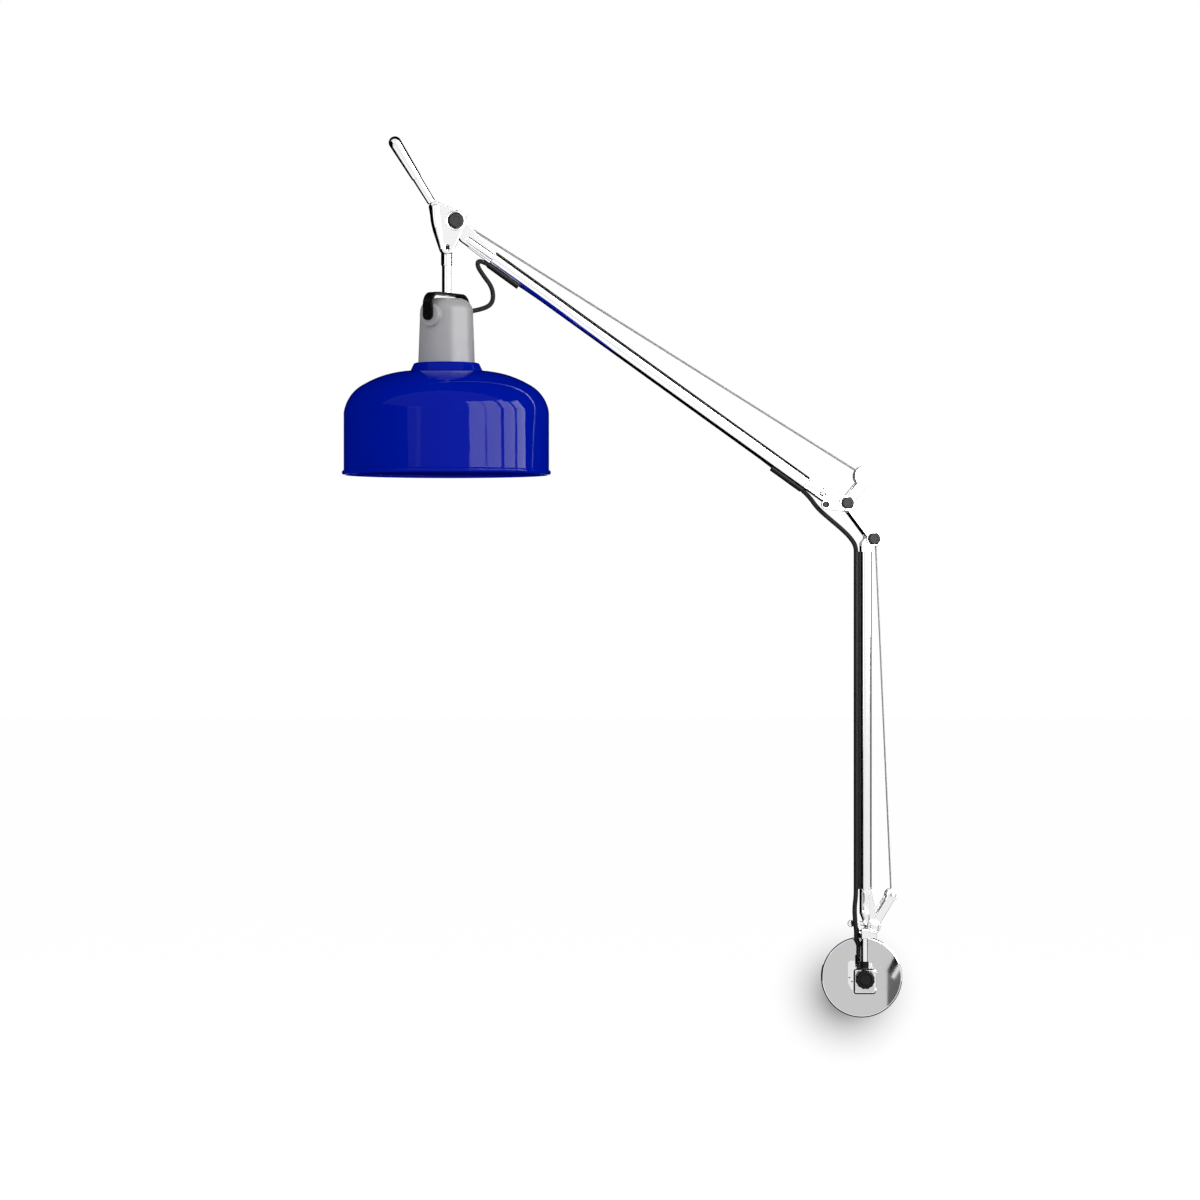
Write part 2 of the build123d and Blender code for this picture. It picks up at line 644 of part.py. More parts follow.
# ================================================================ elbow
lever_tip = polar(pivot_a, ELBOW_LEVER, ELBOW_LEVER_DEG)
link_middle = polar(pivot_b, LINK_LEN / 2, LINK_DEG)
stop_at = (pivot_a[0] - STOP_SCREW_OUT, pivot_a[1] - 1.7)
with BuildPart() as elbow_link:
    for side in (-outer, inner):
        with BuildSketch(ARM.offset(side)):
            lever_outline(pivot_a, ELBOW_LEVER, ELBOW_LEVER_DEG, LEVER_W, EYE_A_R)
            with Locations(pivot_b):
                Circle(EYE_B_R)
            with Locations(Location(link_middle, LINK_DEG)):
                Rectangle(LINK_LEN, LINK_W)
            if side > 0:
                with BuildSketch(mode=Mode.PRIVATE) as ear:
                    with Locations(stop_at):
                        Circle(STOP_SCREW_R + 1.2)
                    with Locations(polar(pivot_a, 6, LINK_DEG - 180)):
                        Circle(4)
                    make_hull()
                add(ear.sketch)
        extrude(amount=CHEEK)
    # web between the cheeks, short of both eyes
    with BuildSketch(ARM.offset(-outer)):
        with Locations(Location(link_middle, LINK_DEG)):
            Rectangle(LINK_LEN - 2 * (EYE_A_R + SIDE_GAP), LINK_W)
    extrude(amount=2 * outer)
    with BuildSketch(ARM.offset(-outer)):
        with Locations(pivot_a, pivot_b, lever_tip):
            Circle(PIN_R + RUN_FIT)
    extrude(amount=2 * outer, mode=Mode.SUBTRACT)
save(elbow_link, "elbow_link")


def cap(spot, radius, high):
    """Push-on cap over a pivot, dished inside a rounded rim."""
    with BuildPart() as piece:
        with BuildSketch(ARM.offset(outer)):
            with Locations(spot):
                Circle(radius)
        extrude(amount=high)
        fillet(piece.faces().sort_by(Axis.Y)[0].edges(), 0.35 * high)
        with BuildSketch(ARM.offset(outer + high - 0.5)):
            with Locations(spot):
                Circle(0.62 * radius)
        extrude(amount=1, mode=Mode.SUBTRACT)
    return piece


with BuildPart() as elbow_bolts:
    for piece in (bolt(pivot_a, outer, 4.4, 2.6, capped=True),
                  bolt(pivot_b, outer, 4.4, 2.6, capped=True),
                  bolt(lever_tip, outer, 3.2, 1.8)):
        add(piece.part)
save(elbow_bolts, "elbow_bolts")
with BuildPart() as elbow_caps:
    for spot in (pivot_a, pivot_b):
        add(cap(spot, CAP_R, CAP_H).part)
save(elbow_caps, "elbow_caps")
save(grooved_disc(elbow_disc_at, ELBOW_DISC_R, 2 * inner - 2 * SLIP, 1.5, PIN_R + RUN_FIT,
                  UPPER_WIRE_D + 2 * SIDE_GAP, lever_tip), "elbow_disc")
with BuildPart() as stop_screw:
    with BuildSketch(ARM.offset(outer)):
        with Locations(stop_at):
            Circle(STOP_SCREW_R)
    extrude(amount=2.6)
    chamfer(stop_screw.faces().sort_by(Axis.Y)[0].edges(), 0.5)
    with BuildSketch(ARM.offset(outer + 1.4)):
        with Locations(stop_at):
            RegularPolygon(STOP_SCREW_R / 2, 6)
    extrude(amount=2, mode=Mode.SUBTRACT)
save(stop_screw, "stop_screw")

# ================================================================ head
handle_base = polar(pivot_head, 24.3, 144.2)
boss = (pivot_head[0] - ROD_SIDE, pivot_head[1] - BOSS_DROP)
BOSS_R = 6.3
socket_foot = boss[1] - 17.1
rod_u = boss[0]
rod_spot = tuple(arm_point(rod_u, 0))[:2]
rod_top = boss[1] + 2.5
HANDLE = Plane(origin=arm_point(*handle_base),
               x_dir=arm_point(*polar(handle_base, 1, HANDLE_DEG)) - arm_point(*handle_base),
               z_dir=ARM.z_dir)
HANDLE_AXIS = Plane(origin=HANDLE.origin, z_dir=HANDLE.x_dir)
TANG_R = 2.0
with BuildPart() as head_casting:
    for side in (-outer, inner):
        with BuildSketch(ARM.offset(side)):
            with Locations(pivot_head):
                Circle(HEAD_EYE_R)
            with Locations(handle_base):
                Circle(HANDLE_BASE_R)
            with Locations(boss):
                Circle(BOSS_R)
            make_hull()
        extrude(amount=CHEEK)
    # spine that ties the cheeks, clear of the arm's eye
    with BuildSketch(ARM.offset(-outer)):
        with Locations(handle_base):
            Circle(HANDLE_BASE_R)
        with Locations((pivot_head[0] - 17, pivot_head[1] - 8)):
            Circle(3)
        with Locations(boss):
            Circle(BOSS_R)
        make_hull()
    extrude(amount=2 * outer)
    # socket for the shade's rod
    with BuildSketch(Plane.XY.offset(socket_foot)):
        with Locations(rod_spot):
            Circle(SOCKET_D / 2)
    extrude(amount=boss[1] - socket_foot)
    with BuildSketch(Plane.XY.offset(socket_foot)):
        with Locations(rod_spot):
            Circle(ROD_D / 2 + RUN_FIT)
    extrude(amount=rod_top - socket_foot + SIDE_GAP, mode=Mode.SUBTRACT)
    with BuildSketch(ARM.offset(ROD_D / 2)):
        with Locations(Location(boss, 90)):
            SlotOverall(5.5, 3.7)
    extrude(amount=outer, mode=Mode.SUBTRACT)
    with BuildSketch(ARM.offset(-outer)):
        with Locations(pivot_head):
            Circle(PIN_R + RUN_FIT)
    extrude(amount=2 * outer, mode=Mode.SUBTRACT)
    with BuildSketch(HANDLE_AXIS.offset(-HANDLE_BASE_R)):
        Circle(TANG_R)
    extrude(amount=3 * HANDLE_BASE_R, mode=Mode.SUBTRACT)
save(head_casting, "head_casting")

with BuildPart() as handle:
    with BuildSketch(HANDLE):
        with BuildLine():
            Polyline((-HANDLE_BASE_R, 0), (-HANDLE_BASE_R, TANG_R), (HANDLE_BASE_R, TANG_R),
                     (HANDLE_BASE_R, HANDLE_BASE_R - 0.2), (31.5, HANDLE_BASE_R + 0.2),
                     (31.5, HANDLE_BASE_R + 0.7), (HANDLE_LEN, HANDLE_TIP_R))
            CenterArc((HANDLE_LEN, 0), HANDLE_TIP_R, 0, 90)
            Line((HANDLE_LEN + HANDLE_TIP_R, 0), (-HANDLE_BASE_R, 0))
        make_face()
    revolve(axis=Axis(HANDLE.origin, HANDLE.x_dir))
save(handle, "handle")
save(bolt(pivot_head, outer, 5.2, 2.8, capped=True), "head_pivot_bolt")
save(cap(pivot_head, HEAD_CAP_R, CAP_H), "head_pivot_cap")
with BuildPart() as rod_screw:
    with BuildSketch(ARM.offset(ROD_D / 2 + 0.1)):
        with Locations(boss):
            Circle(1.8)
    extrude(amount=outer - ROD_D / 2 - 1.5)
save(rod_screw, "rod_screw")

# ================================================================ rod and bail
turn = radians(BAIL_TURN)
bail_way = ARM.x_dir * cos(turn) - ARM.z_dir * sin(turn)     # along the ears' axis
head_z = pivot_head[1]
axis_foot = arm_point(rod_u, 0)
BAIL = Plane(origin=(axis_foot.X, axis_foot.Y, head_z), x_dir=bail_way,
             z_dir=bail_way.cross(Vector(0, 0, 1)))
leg_in = EAR_OUT + SIDE_GAP
leg_out = leg_in + BAIL_T
BAIL_ROUND = 12.5

with BuildPart() as rod:
    with BuildSketch(Plane.XY.offset(head_z - BAIL_TOP - BAIL_T)):
        with Locations(rod_spot):
            Circle(ROD_D / 3)
    extrude(amount=BAIL_T)
    with BuildSketch(Plane.XY.offset(head_z - BAIL_TOP)):
        with Locations(rod_spot):
            Circle(ROD_D / 2)
    extrude(amount=rod_top - head_z + BAIL_TOP)
save(rod, "shade_rod")


def side_plane(out):
    """Plane across the ears' axis, out from the lampholder's axis."""
    return Plane(origin=BAIL.from_local_coords(Vector(out, -EAR_DROP, 0)),
                 x_dir=BAIL.z_dir, z_dir=BAIL.x_dir)


with BuildPart() as bail:
    with BuildSketch(BAIL.offset(-BAIL_W / 2)):
        with BuildSketch(mode=Mode.PRIVATE) as outside:
            with Locations((0, -(BAIL_TOP + EAR_DROP) / 2)):
                Rectangle(2 * leg_out, EAR_DROP - BAIL_TOP)
            fillet(outside.vertices().group_by(Axis.Y)[-1], BAIL_ROUND)
        with BuildSketch(mode=Mode.PRIVATE) as inside_edge:
            with Locations((0, -(BAIL_TOP + EAR_DROP + BAIL_T) / 2)):
                Rectangle(2 * leg_in, EAR_DROP - BAIL_TOP - BAIL_T)
            fillet(inside_edge.vertices().group_by(Axis.Y)[-1], BAIL_ROUND - BAIL_T)
        add(outside.sketch)
        add(inside_edge.sketch, mode=Mode.SUBTRACT)
    extrude(amount=BAIL_W)
    for out in (-leg_out, leg_in):
        with BuildSketch(side_plane(out)):
            Circle(BAIL_W / 2)
        extrude(amount=BAIL_T)
    with BuildSketch(side_plane(-leg_out - 1)):
        Circle(PIN_R + RUN_FIT)
    extrude(amount=2 * leg_out + 2, mode=Mode.SUBTRACT)
    with BuildSketch(Plane.XY.offset(head_z - BAIL_TOP - 2 * BAIL_T)):
        with Locations(rod_spot):
            Circle(ROD_D / 3)
    extrude(amount=3 * BAIL_T, mode=Mode.SUBTRACT)
save(bail, "bail")

EAR_BORE = 7.0
with BuildPart() as bail_screws:
    for way in (-1, 1):
        with BuildSketch(side_plane(way * leg_out)):
            Circle(3.4)
        extrude(amount=way * 1.2)
        with BuildSketch(side_plane(way * leg_out)):
            Circle(PIN_R)
        extrude(amount=-way * (EAR_BORE - 0.5))
        with BuildSketch(side_plane(way * (leg_out + 0.7))):
            Rectangle(0.9, 8)
        extrude(amount=way * 2, mode=Mode.SUBTRACT)
save(bail_screws, "bail_screws")

# ================================================================ lampholder
HOLDER = Plane(origin=(axis_foot.X, axis_foot.Y, head_z), x_dir=(1, 0, 0), z_dir=(0, -1, 0))
holder_axis = Axis(HOLDER.origin, (0, 0, 1))
THREAD_WALL = 1.0
SHELL_R = SOCKET_THREAD_R + THREAD_WALL + SLIP
CHAMBER_R = 15.5
chamber_top = HOLDER_TOP + 7.6
chamber_foot = HOLDER_TOP + 40
shelf = chamber_foot + 5
loop_drop = 86.1          # lead's way into the lampholder's side
with BuildPart() as lampholder:
    with BuildSketch(HOLDER):
        with BuildLine():
            flat_r = HOLDER_TOP_R - HOLDER_ROUND
            Line((0, -HOLDER_TOP), (flat_r, -HOLDER_TOP))
            corner = (flat_r + HOLDER_ROUND * cos(radians(45)),
                      -HOLDER_TOP - HOLDER_ROUND * (1 - sin(radians(45))))
            ThreePointArc((flat_r, -HOLDER_TOP), corner,
                          (HOLDER_TOP_R, -HOLDER_TOP - HOLDER_ROUND))
            Polyline((HOLDER_TOP_R, -HOLDER_TOP - HOLDER_ROUND),
                     (HOLDER_FOOT_R, -COLLAR_TOP), (SLEEVE_R, -COLLAR_TOP),
                     (SLEEVE_R, -SLEEVE_FOOT), (0, -SLEEVE_FOOT), (0, -HOLDER_TOP))
        make_face()
    revolve(axis=holder_axis)
    with BuildSketch(side_plane(-EAR_OUT)):
        Circle(EAR_R)
    extrude(amount=2 * EAR_OUT)
    chamfer(lampholder.edges().filter_by(GeomType.CIRCLE).sort_by(
        lambda e: abs((e.center() - BAIL.origin).dot(BAIL.x_dir)))[-2:], 1.0)
    with BuildSketch(HOLDER):
        with Locations((0, -(chamber_top + chamber_foot) / 2)):
            Rectangle(2 * CHAMBER_R, chamber_foot - chamber_top)
        with Locations((0, -(shelf + SLEEVE_FOOT + 1) / 2)):
            Rectangle(2 * SHELL_R, SLEEVE_FOOT + 1 - shelf)
        split(bisect_by=Plane.YZ, keep=Keep.TOP)
    revolve(axis=holder_axis, mode=Mode.SUBTRACT)
    for way in (-1, 1):
        with BuildSketch(side_plane(way * (EAR_OUT - EAR_BORE))):
            Circle(PIN_R + RUN_FIT)
        extrude(amount=way * 2 * EAR_BORE, mode=Mode.SUBTRACT)
    entry = Plane(origin=arm_point(rod_u, head_z - loop_drop), x_dir=ARM.z_dir,
                  z_dir=ARM.x_dir)
    with BuildSketch(entry):
        Circle(CABLE_D / 2 + 2 * SLIP)
    extrude(amount=2 * EAR_OUT, mode=Mode.SUBTRACT)
save(lampholder, "lampholder")

SHELL_LEN = 36.0
SHELL_FLOOR = 4.0         # insulating floor round the middle contact
with BuildPart() as socket_shell:
    with BuildSketch(Plane.XY.offset(head_z - shelf)):
        with Locations(rod_spot):
            Circle(SHELL_R - SLIP)
    extrude(amount=-SHELL_LEN)
    with BuildSketch(Plane.XY.offset(head_z - shelf - SHELL_FLOOR)):
        with Locations(rod_spot):
            Circle(SOCKET_THREAD_R)
    extrude(amount=-SHELL_LEN, mode=Mode.SUBTRACT)
    with BuildSketch(Plane.XY.offset(head_z - shelf)):
        with Locations(rod_spot):
            Circle(7)
    extrude(amount=-SHELL_FLOOR - THREAD_WALL, mode=Mode.SUBTRACT)
save(socket_shell, "socket_shell")

with BuildPart() as lamp_contact:
    with BuildSketch(Plane.XY.offset(head_z - shelf)):
        with Locations(rod_spot):
            Circle(5)
    extrude(amount=-3)
    fillet(lamp_contact.faces().sort_by(Axis.Z)[0].edges(), 1.2)
save(lamp_contact, "lamp_contact")

RING_T = 8.0
RING_OUT = 27.0
flange_foot = COLLAR_TOP + SLIP / 2 + SHEET
with BuildPart() as shade_ring:
    with BuildSketch(Plane.XY.offset(head_z - flange_foot - SLIP / 2)):
        with Locations(rod_spot):
            Circle(RING_OUT)
            Circle(SLEEVE_R + RUN_FIT, mode=Mode.SUBTRACT)
    extrude(amount=-RING_T)
    with BuildSketch(Plane.XY.offset(head_z - flange_foot)):
        with Locations(rod_spot):
            with PolarLocations(RING_OUT + 0.6, 16):
                Circle(1.6)
    extrude(amount=-RING_T - 1, mode=Mode.SUBTRACT)
save(shade_ring, "shade_ring")

# ================================================================ shade
shoulder = (0.8 * SHADE_R, -COLLAR_FOOT - 0.32 * SHADE_ROUND)
tangent_at = COLLAR_FOOT + SHADE_ROUND + 1.1
bead_ring = SHADE_R - SHEET / 2
with BuildPart() as shade:
    with BuildSketch(HOLDER):
        with BuildLine() as skin:
            top = -COLLAR_TOP - SLIP / 2
            Line((SLEEVE_R + 2 * SLIP, top), (COLLAR_TOP_R - 1.5, top))
            ThreePointArc((COLLAR_TOP_R - 1.5, top), (COLLAR_TOP_R - 0.3, top - 0.6),
                          (COLLAR_TOP_R + 0.4, top - 2))
            Line((COLLAR_TOP_R + 0.4, top - 2), (COLLAR_FOOT_R, -COLLAR_FOOT))
            ThreePointArc((COLLAR_FOOT_R, -COLLAR_FOOT),
                          (0.6 * SHADE_R, -COLLAR_FOOT - 0.1 * SHADE_ROUND), shoulder)
            ThreePointArc(shoulder, (0.937 * SHADE_R, -COLLAR_FOOT - 0.62 * SHADE_ROUND),
                          (SHADE_R, -tangent_at))
            Line((SHADE_R, -tangent_at), (SHADE_R, -SHADE_BEAD))
            offset(amount=SHEET, side=Side.RIGHT)
        make_face()
        with Locations((bead_ring, -SHADE_BEAD)):
            Circle(BEAD_R)
    revolve(axis=holder_axis)
save(shade, "shade")

# ================================================================ lead
def lead(points, name):
    """Stretch of the lead: straight runs joined by arcs as large as the runs allow."""
    spots = [Vector(*p) for p in points]
    radii = []
    for before, at, after in zip(spots, spots[1:], spots[2:]):
        bend = radians((at - before).get_angle(after - at))
        shorter = min((at - before).length, (after - at).length)
        radii.append(0.45 * shorter / tan(bend / 2))
    with BuildPart() as piece:
        with BuildLine() as route:
            if radii:
                FilletPolyline(*spots, radius=radii)
            else:
                Line(*spots)
        with BuildSketch(Plane(origin=spots[0], z_dir=spots[1] - spots[0])):
            Circle(CABLE_D / 2)
        sweep(path=route.wires()[0])
    length = route.wires()[0].length
    share = piece.part.volume / (length * 3.14159265 * (CABLE_D / 2) ** 2)
    print(f"{name}: length {length:.1f}, volume share {share:.4f}, radii "
          + " ".join(f"{r:.1f}" for r in radii))
    save(piece, name)
    return length


def along(plane, spot_along, off):
    """Point beside an arm, as a tuple in the lamp's own frame."""
    return tuple(plane.from_local_coords(Vector(spot_along, off, 0)))


def beside(pivot, right, up, w=0.0):
    """Point to the right of a pivot and above it, as a tuple in the lamp's own frame."""
    return tuple(arm_point(pivot[0] + right, pivot[1] + up, w))


def halfway(a, b):
    """Middle of two points."""
    return tuple((p + q) / 2 for p, q in zip(a, b))


# Loop at the head, from the upper tube's end to the lampholder's side
head_slope = (CABLE_END_H - CABLE_IN) / SLIT
elbow_slope = (CABLE_END_A - CABLE_IN) / SLIT
LOOP_OUT = 10.0
loop = [along(UPPER, upper_end, CABLE_END_H),
        along(UPPER, upper_end + LOOP_OUT, CABLE_END_H + LOOP_OUT * head_slope),
        beside(pivot_head, 22.0, -42.2), beside(pivot_head, 28.2, -51.7),
        beside(pivot_head, 37.4, -63.7), beside(pivot_head, 37.8, -77.7),
        beside(pivot_head, 28.7, -83.9),
        tuple(entry.from_local_coords(Vector(0, 0, HOLDER_TOP_R - 1.5)))]
loop_high = halfway(loop[3], loop[4])
loop_low = halfway(loop[4], loop[5])
lengths = [lead(loop[:4] + [loop_high], "lead_loop_arm"),
           lead([loop_high, loop[4], loop_low], "lead_loop_head"),
           lead([loop_low] + loop[5:], "lead_loop_holder")]

# Inside the upper tube
lengths.append(lead([along(UPPER, upper_end, CABLE_END_H),
                     along(UPPER, upper_end - SLIT, CABLE_IN),
                     along(UPPER, UPPER_FOOT + SLIT, CABLE_IN),
                     along(UPPER, UPPER_FOOT, CABLE_END_A)], "lead_upper"))

# Round the elbow
elbow_run = [along(UPPER, UPPER_FOOT, CABLE_END_A),
             along(UPPER, UPPER_FOOT - LOOP_OUT, CABLE_END_A + LOOP_OUT * elbow_slope),
             beside(pivot_b, -55.1, 30.1), beside(pivot_b, -44.0, 20.6),
             beside(pivot_b, -30.2, 9.4), beside(pivot_b, -20.8, 0.2),
             along(LOWER, lower_end + 4.8, LOWER_TUBE_OFF + CABLE_OUT),
             along(LOWER, lower_end, LOWER_TUBE_OFF + CABLE_OUT)]
elbow_mid = halfway(elbow_run[3], elbow_run[4])
lengths.append(lead(elbow_run[:4] + [elbow_mid], "lead_elbow_upper"))
lengths.append(lead([elbow_mid] + elbow_run[4:], "lead_elbow_lower"))

# Down the lower tube, behind the post and through the hub to the wall
lengths.append(lead([along(LOWER, lower_end, LOWER_TUBE_OFF + CABLE_OUT),
                     along(LOWER, LOWER_FOOT, LOWER_TUBE_OFF + CABLE_OUT)], "lead_lower"))
foot_run = [along(LOWER, LOWER_FOOT, LOWER_TUBE_OFF + CABLE_OUT),
            along(LOWER, LOWER_FOOT - 7, LOWER_TUBE_OFF + CABLE_OUT),
            beside(pivot_post, -17.7, 18.2), beside(pivot_post, -17.0, 5.2),
            beside(pivot_post, -15.4, -4.8, -1.6), beside(pivot_post, -15.0, -12.8, -4.4),
            beside(pivot_post, -9.0, -20.8, -cable_back), (0, -POST_OUT + cable_back, 23.0),
            (0, -POST_OUT + cable_back, HUB_TOP)]
foot_mid = halfway(foot_run[3], foot_run[4])
lengths.append(lead(foot_run[:4] + [foot_mid], "lead_foot"))
lengths.append(lead([foot_mid] + foot_run[4:], "lead_post"))
lengths.append(lead([foot_run[-1], (0, -POST_OUT + cable_back, 0),
                     (0, -BACKPLATE_T - SLIP, 0)], "lead_wall"))
print(f"lead in all {sum(lengths):.0f} mm, {len(made)} pieces")
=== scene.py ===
"""Articulating wall lamp: the finished surfaces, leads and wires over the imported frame."""
import json
import math

import bmesh
import bpy
from mathutils import Matrix, Vector
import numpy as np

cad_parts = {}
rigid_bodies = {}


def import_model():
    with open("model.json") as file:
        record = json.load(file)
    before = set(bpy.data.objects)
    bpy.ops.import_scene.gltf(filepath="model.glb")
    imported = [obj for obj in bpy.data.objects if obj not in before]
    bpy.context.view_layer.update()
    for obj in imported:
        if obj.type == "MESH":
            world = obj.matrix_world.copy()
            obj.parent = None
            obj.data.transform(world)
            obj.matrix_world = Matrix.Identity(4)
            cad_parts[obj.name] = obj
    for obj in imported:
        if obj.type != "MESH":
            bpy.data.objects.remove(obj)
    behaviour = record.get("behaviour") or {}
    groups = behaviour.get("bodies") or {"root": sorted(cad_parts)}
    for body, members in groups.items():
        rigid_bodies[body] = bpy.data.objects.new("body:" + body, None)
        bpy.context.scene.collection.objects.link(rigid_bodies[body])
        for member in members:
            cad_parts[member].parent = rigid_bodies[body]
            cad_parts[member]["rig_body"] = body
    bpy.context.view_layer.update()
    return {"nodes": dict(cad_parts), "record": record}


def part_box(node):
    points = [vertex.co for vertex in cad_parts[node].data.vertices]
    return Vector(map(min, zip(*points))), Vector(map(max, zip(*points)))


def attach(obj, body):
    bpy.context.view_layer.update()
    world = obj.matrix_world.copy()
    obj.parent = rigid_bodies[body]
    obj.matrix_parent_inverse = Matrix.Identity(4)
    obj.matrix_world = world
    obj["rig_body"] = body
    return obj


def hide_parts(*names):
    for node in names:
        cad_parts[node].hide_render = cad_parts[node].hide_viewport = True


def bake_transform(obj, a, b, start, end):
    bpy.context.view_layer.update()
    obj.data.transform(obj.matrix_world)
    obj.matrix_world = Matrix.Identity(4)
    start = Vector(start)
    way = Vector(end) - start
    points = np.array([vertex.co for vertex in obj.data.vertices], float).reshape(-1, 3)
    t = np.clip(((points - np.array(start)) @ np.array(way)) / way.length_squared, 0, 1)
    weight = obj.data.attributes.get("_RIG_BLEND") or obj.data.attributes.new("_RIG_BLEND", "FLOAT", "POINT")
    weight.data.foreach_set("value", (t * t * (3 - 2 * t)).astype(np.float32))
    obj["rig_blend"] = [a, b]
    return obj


bl_info = {
    "name": "Articulating wall lamp",
    "version": (1, 0, 0),
    "blender": (4, 5, 0),
    "location": "3D View > Sidebar > Lamp",
    "description": "Dresses the wall lamp's frame with metal, enamel, porcelain and leads",
    "category": "Object",
}

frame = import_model()
MM = 0.001

# The arms' upright plane, turned away from the wall, with its origin at the hub's middle
ARM_SWING = math.radians(10.0)
POST_OUT = 0.045
ARM_U = Vector((math.cos(ARM_SWING), math.sin(ARM_SWING), 0))
ARM_V = Vector((0, 0, 1))
ARM_W = ARM_U.cross(ARM_V)
HUB = Vector((0, -POST_OUT, 0))


def arm_point(u, v, w=0.0):
    """Point of the arms' plane: u along it, v up and w towards the room, in millimetres."""
    return HUB + (ARM_U * u + ARM_V * v + ARM_W * w) * MM


def polar(start, length, degrees):
    """Point in the arms' plane at a length and an angle from another."""
    turn = math.radians(degrees)
    return start[0] + length * math.cos(turn), start[1] + length * math.sin(turn)


POST_PIVOT = (7.8, 53.3)
LOWER_LEN, LINK_LEN, UPPER_LEN = 378.9, 43.9, 470.4
LOWER_TURN, LINK_TURN, UPPER_TURN = 90.0, 127.4, 145.1
ROD_BACK = 7.5           # shade's rod, to the left of the head pivot
ELBOW_LOW = polar(POST_PIVOT, LOWER_LEN, LOWER_TURN)
ELBOW_HIGH = polar(ELBOW_LOW, LINK_LEN, LINK_TURN)
HEAD_PIVOT = polar(ELBOW_HIGH, UPPER_LEN, UPPER_TURN)
UPPER_ANGLE = math.radians(UPPER_TURN)
LAMP_AXIS = arm_point(HEAD_PIVOT[0] - ROD_BACK, 0)
HEAD_Z = HEAD_PIVOT[1] * MM


def upper_point(along, below):
    """Point beside the upper arm: along it from the elbow and below its middle line."""
    u = ELBOW_HIGH[0] + along * math.cos(UPPER_ANGLE) - below * math.sin(UPPER_ANGLE)
    v = ELBOW_HIGH[1] + along * math.sin(UPPER_ANGLE) + below * math.cos(UPPER_ANGLE)
    return arm_point(u, v)


def lower_point(along, beside):
    """Point beside the lower arm: up it from the post and to its left."""
    return arm_point(POST_PIVOT[0] - beside, POST_PIVOT[1] + along)


# ---------------------------------------------------------------- shader maths
class Value:
    """A node's output, with the arithmetic operators as Math nodes."""

    def __init__(self, shader, socket):
        self.shader = shader
        self.socket = socket

    def maths(self, operation, *others):
        """A Math node's result."""
        return self.shader.add("ShaderNodeMath", {"operation": operation},
                               dict(enumerate(others)))[0]

    def __add__(self, other):
        return self.maths("ADD", self, other)

    def __sub__(self, other):
        return self.maths("SUBTRACT", self, other)

    def __rsub__(self, other):
        return self.maths("SUBTRACT", other, self)

    def __mul__(self, other):
        return self.maths("MULTIPLY", self, other)

    def __truediv__(self, other):
        return self.maths("DIVIDE", self, other)

    def __gt__(self, other):
        return self.maths("GREATER_THAN", self, other)

    def sine(self):
        return self.maths("SINE", self)

    def clamped(self):
        """The value kept between 0 and 1."""
        return self.maths("MINIMUM", self.maths("MAXIMUM", self, 0.0), 1.0)


class Shader:
    """A material, or the world, whose nodes are all made by one method."""

    def __init__(self, name, world=None):
        self.material = world or bpy.data.materials.new(name)
        self.material.use_nodes = True
        self.tree = self.material.node_tree
        self.tree.nodes.clear()

    def add(self, kind, settings=None, sockets=None):
        """A node of a type, its settings set first, then its sockets' values or links."""
        node = self.tree.nodes.new(kind)
        for name, value in (settings or {}).items():
            setattr(node, name, value)
        for name, value in (sockets or {}).items():
            if isinstance(value, Value):
                self.tree.links.new(value.socket, node.inputs[name])
            else:
                node.inputs[name].default_value = value
        return [Value(self, output) for output in node.outputs]

    def place(self, scale=(1, 1, 1)):
        """Object coordinates in metres, scaled."""
        return self.scaled(self.add("ShaderNodeTexCoord")[3], scale)

    def scaled(self, where, scale):
        """Coordinates scaled on each axis."""
        return self.add("ShaderNodeMapping", None, {"Vector": where, "Scale": scale})[0]

    def noise(self, where, scale, detail):
        """Cloudy noise from 0 to 1."""
        return self.add("ShaderNodeTexNoise", None,
                        {"Vector": where, "Scale": scale, "Detail": detail})[0]

    def distance(self, where, spot):
        """Distance from a spot."""
        return self.add("ShaderNodeVectorMath", {"operation": "DISTANCE"},
                        {0: where, 1: spot})[1]

    def mixed(self, share, low, high):
        """A colour between two others."""
        return self.add("ShaderNodeMix", {"data_type": "RGBA"},
                        {0: share, 6: low, 7: high})[2]

    def bumped(self, height, strength, distance):
        """The surface's direction with small relief of a depth in metres."""
        return self.add("ShaderNodeBump", None,
                        {"Height": height, "Strength": strength, "Distance": distance})[0]

    def light(self, colour, strength):
        """A flat emitting surface."""
        return self.add("ShaderNodeEmission", None, {"Color": colour, "Strength": strength})[0]

    def ending(self, surface):
        """The material, with a surface at its end."""
        self.add("ShaderNodeOutputMaterial", None, {"Surface": surface})
        return self.material

    def surface(self, **sockets):
        """The finished surface, with its sockets' names written with underscores."""
        named = {name.replace("_", " "): value for name, value in sockets.items()}
        return self.ending(self.add("ShaderNodeBsdfPrincipled", None, named)[0])


def rgb(colour):
    """A colour property as the four numbers that a node takes."""
    return (*colour[:3], 1.0)


# ---------------------------------------------------------------- finishes
# Front of the pivot caps from the arms' plane, and each cap's pivot with its face's radius
CAP_FRONT = 11.0
CAP_FACES = ((ELBOW_LOW, 4.5), (ELBOW_HIGH, 4.5), (HEAD_PIVOT, 5.9))
FACE_EDGE = 0.999        # share of a cap face's radius where its rim starts
BRAID_STRANDS = 8
# Painted glints on the braid, pale spots standing in for light caught by the strands: their spread, and the
# weave and spot levels above which they show
GLINT_SPREAD = (24.0, 24.0, 1.0)
GLINT_RAISED, GLINT_SPOT = 0.55, 0.56


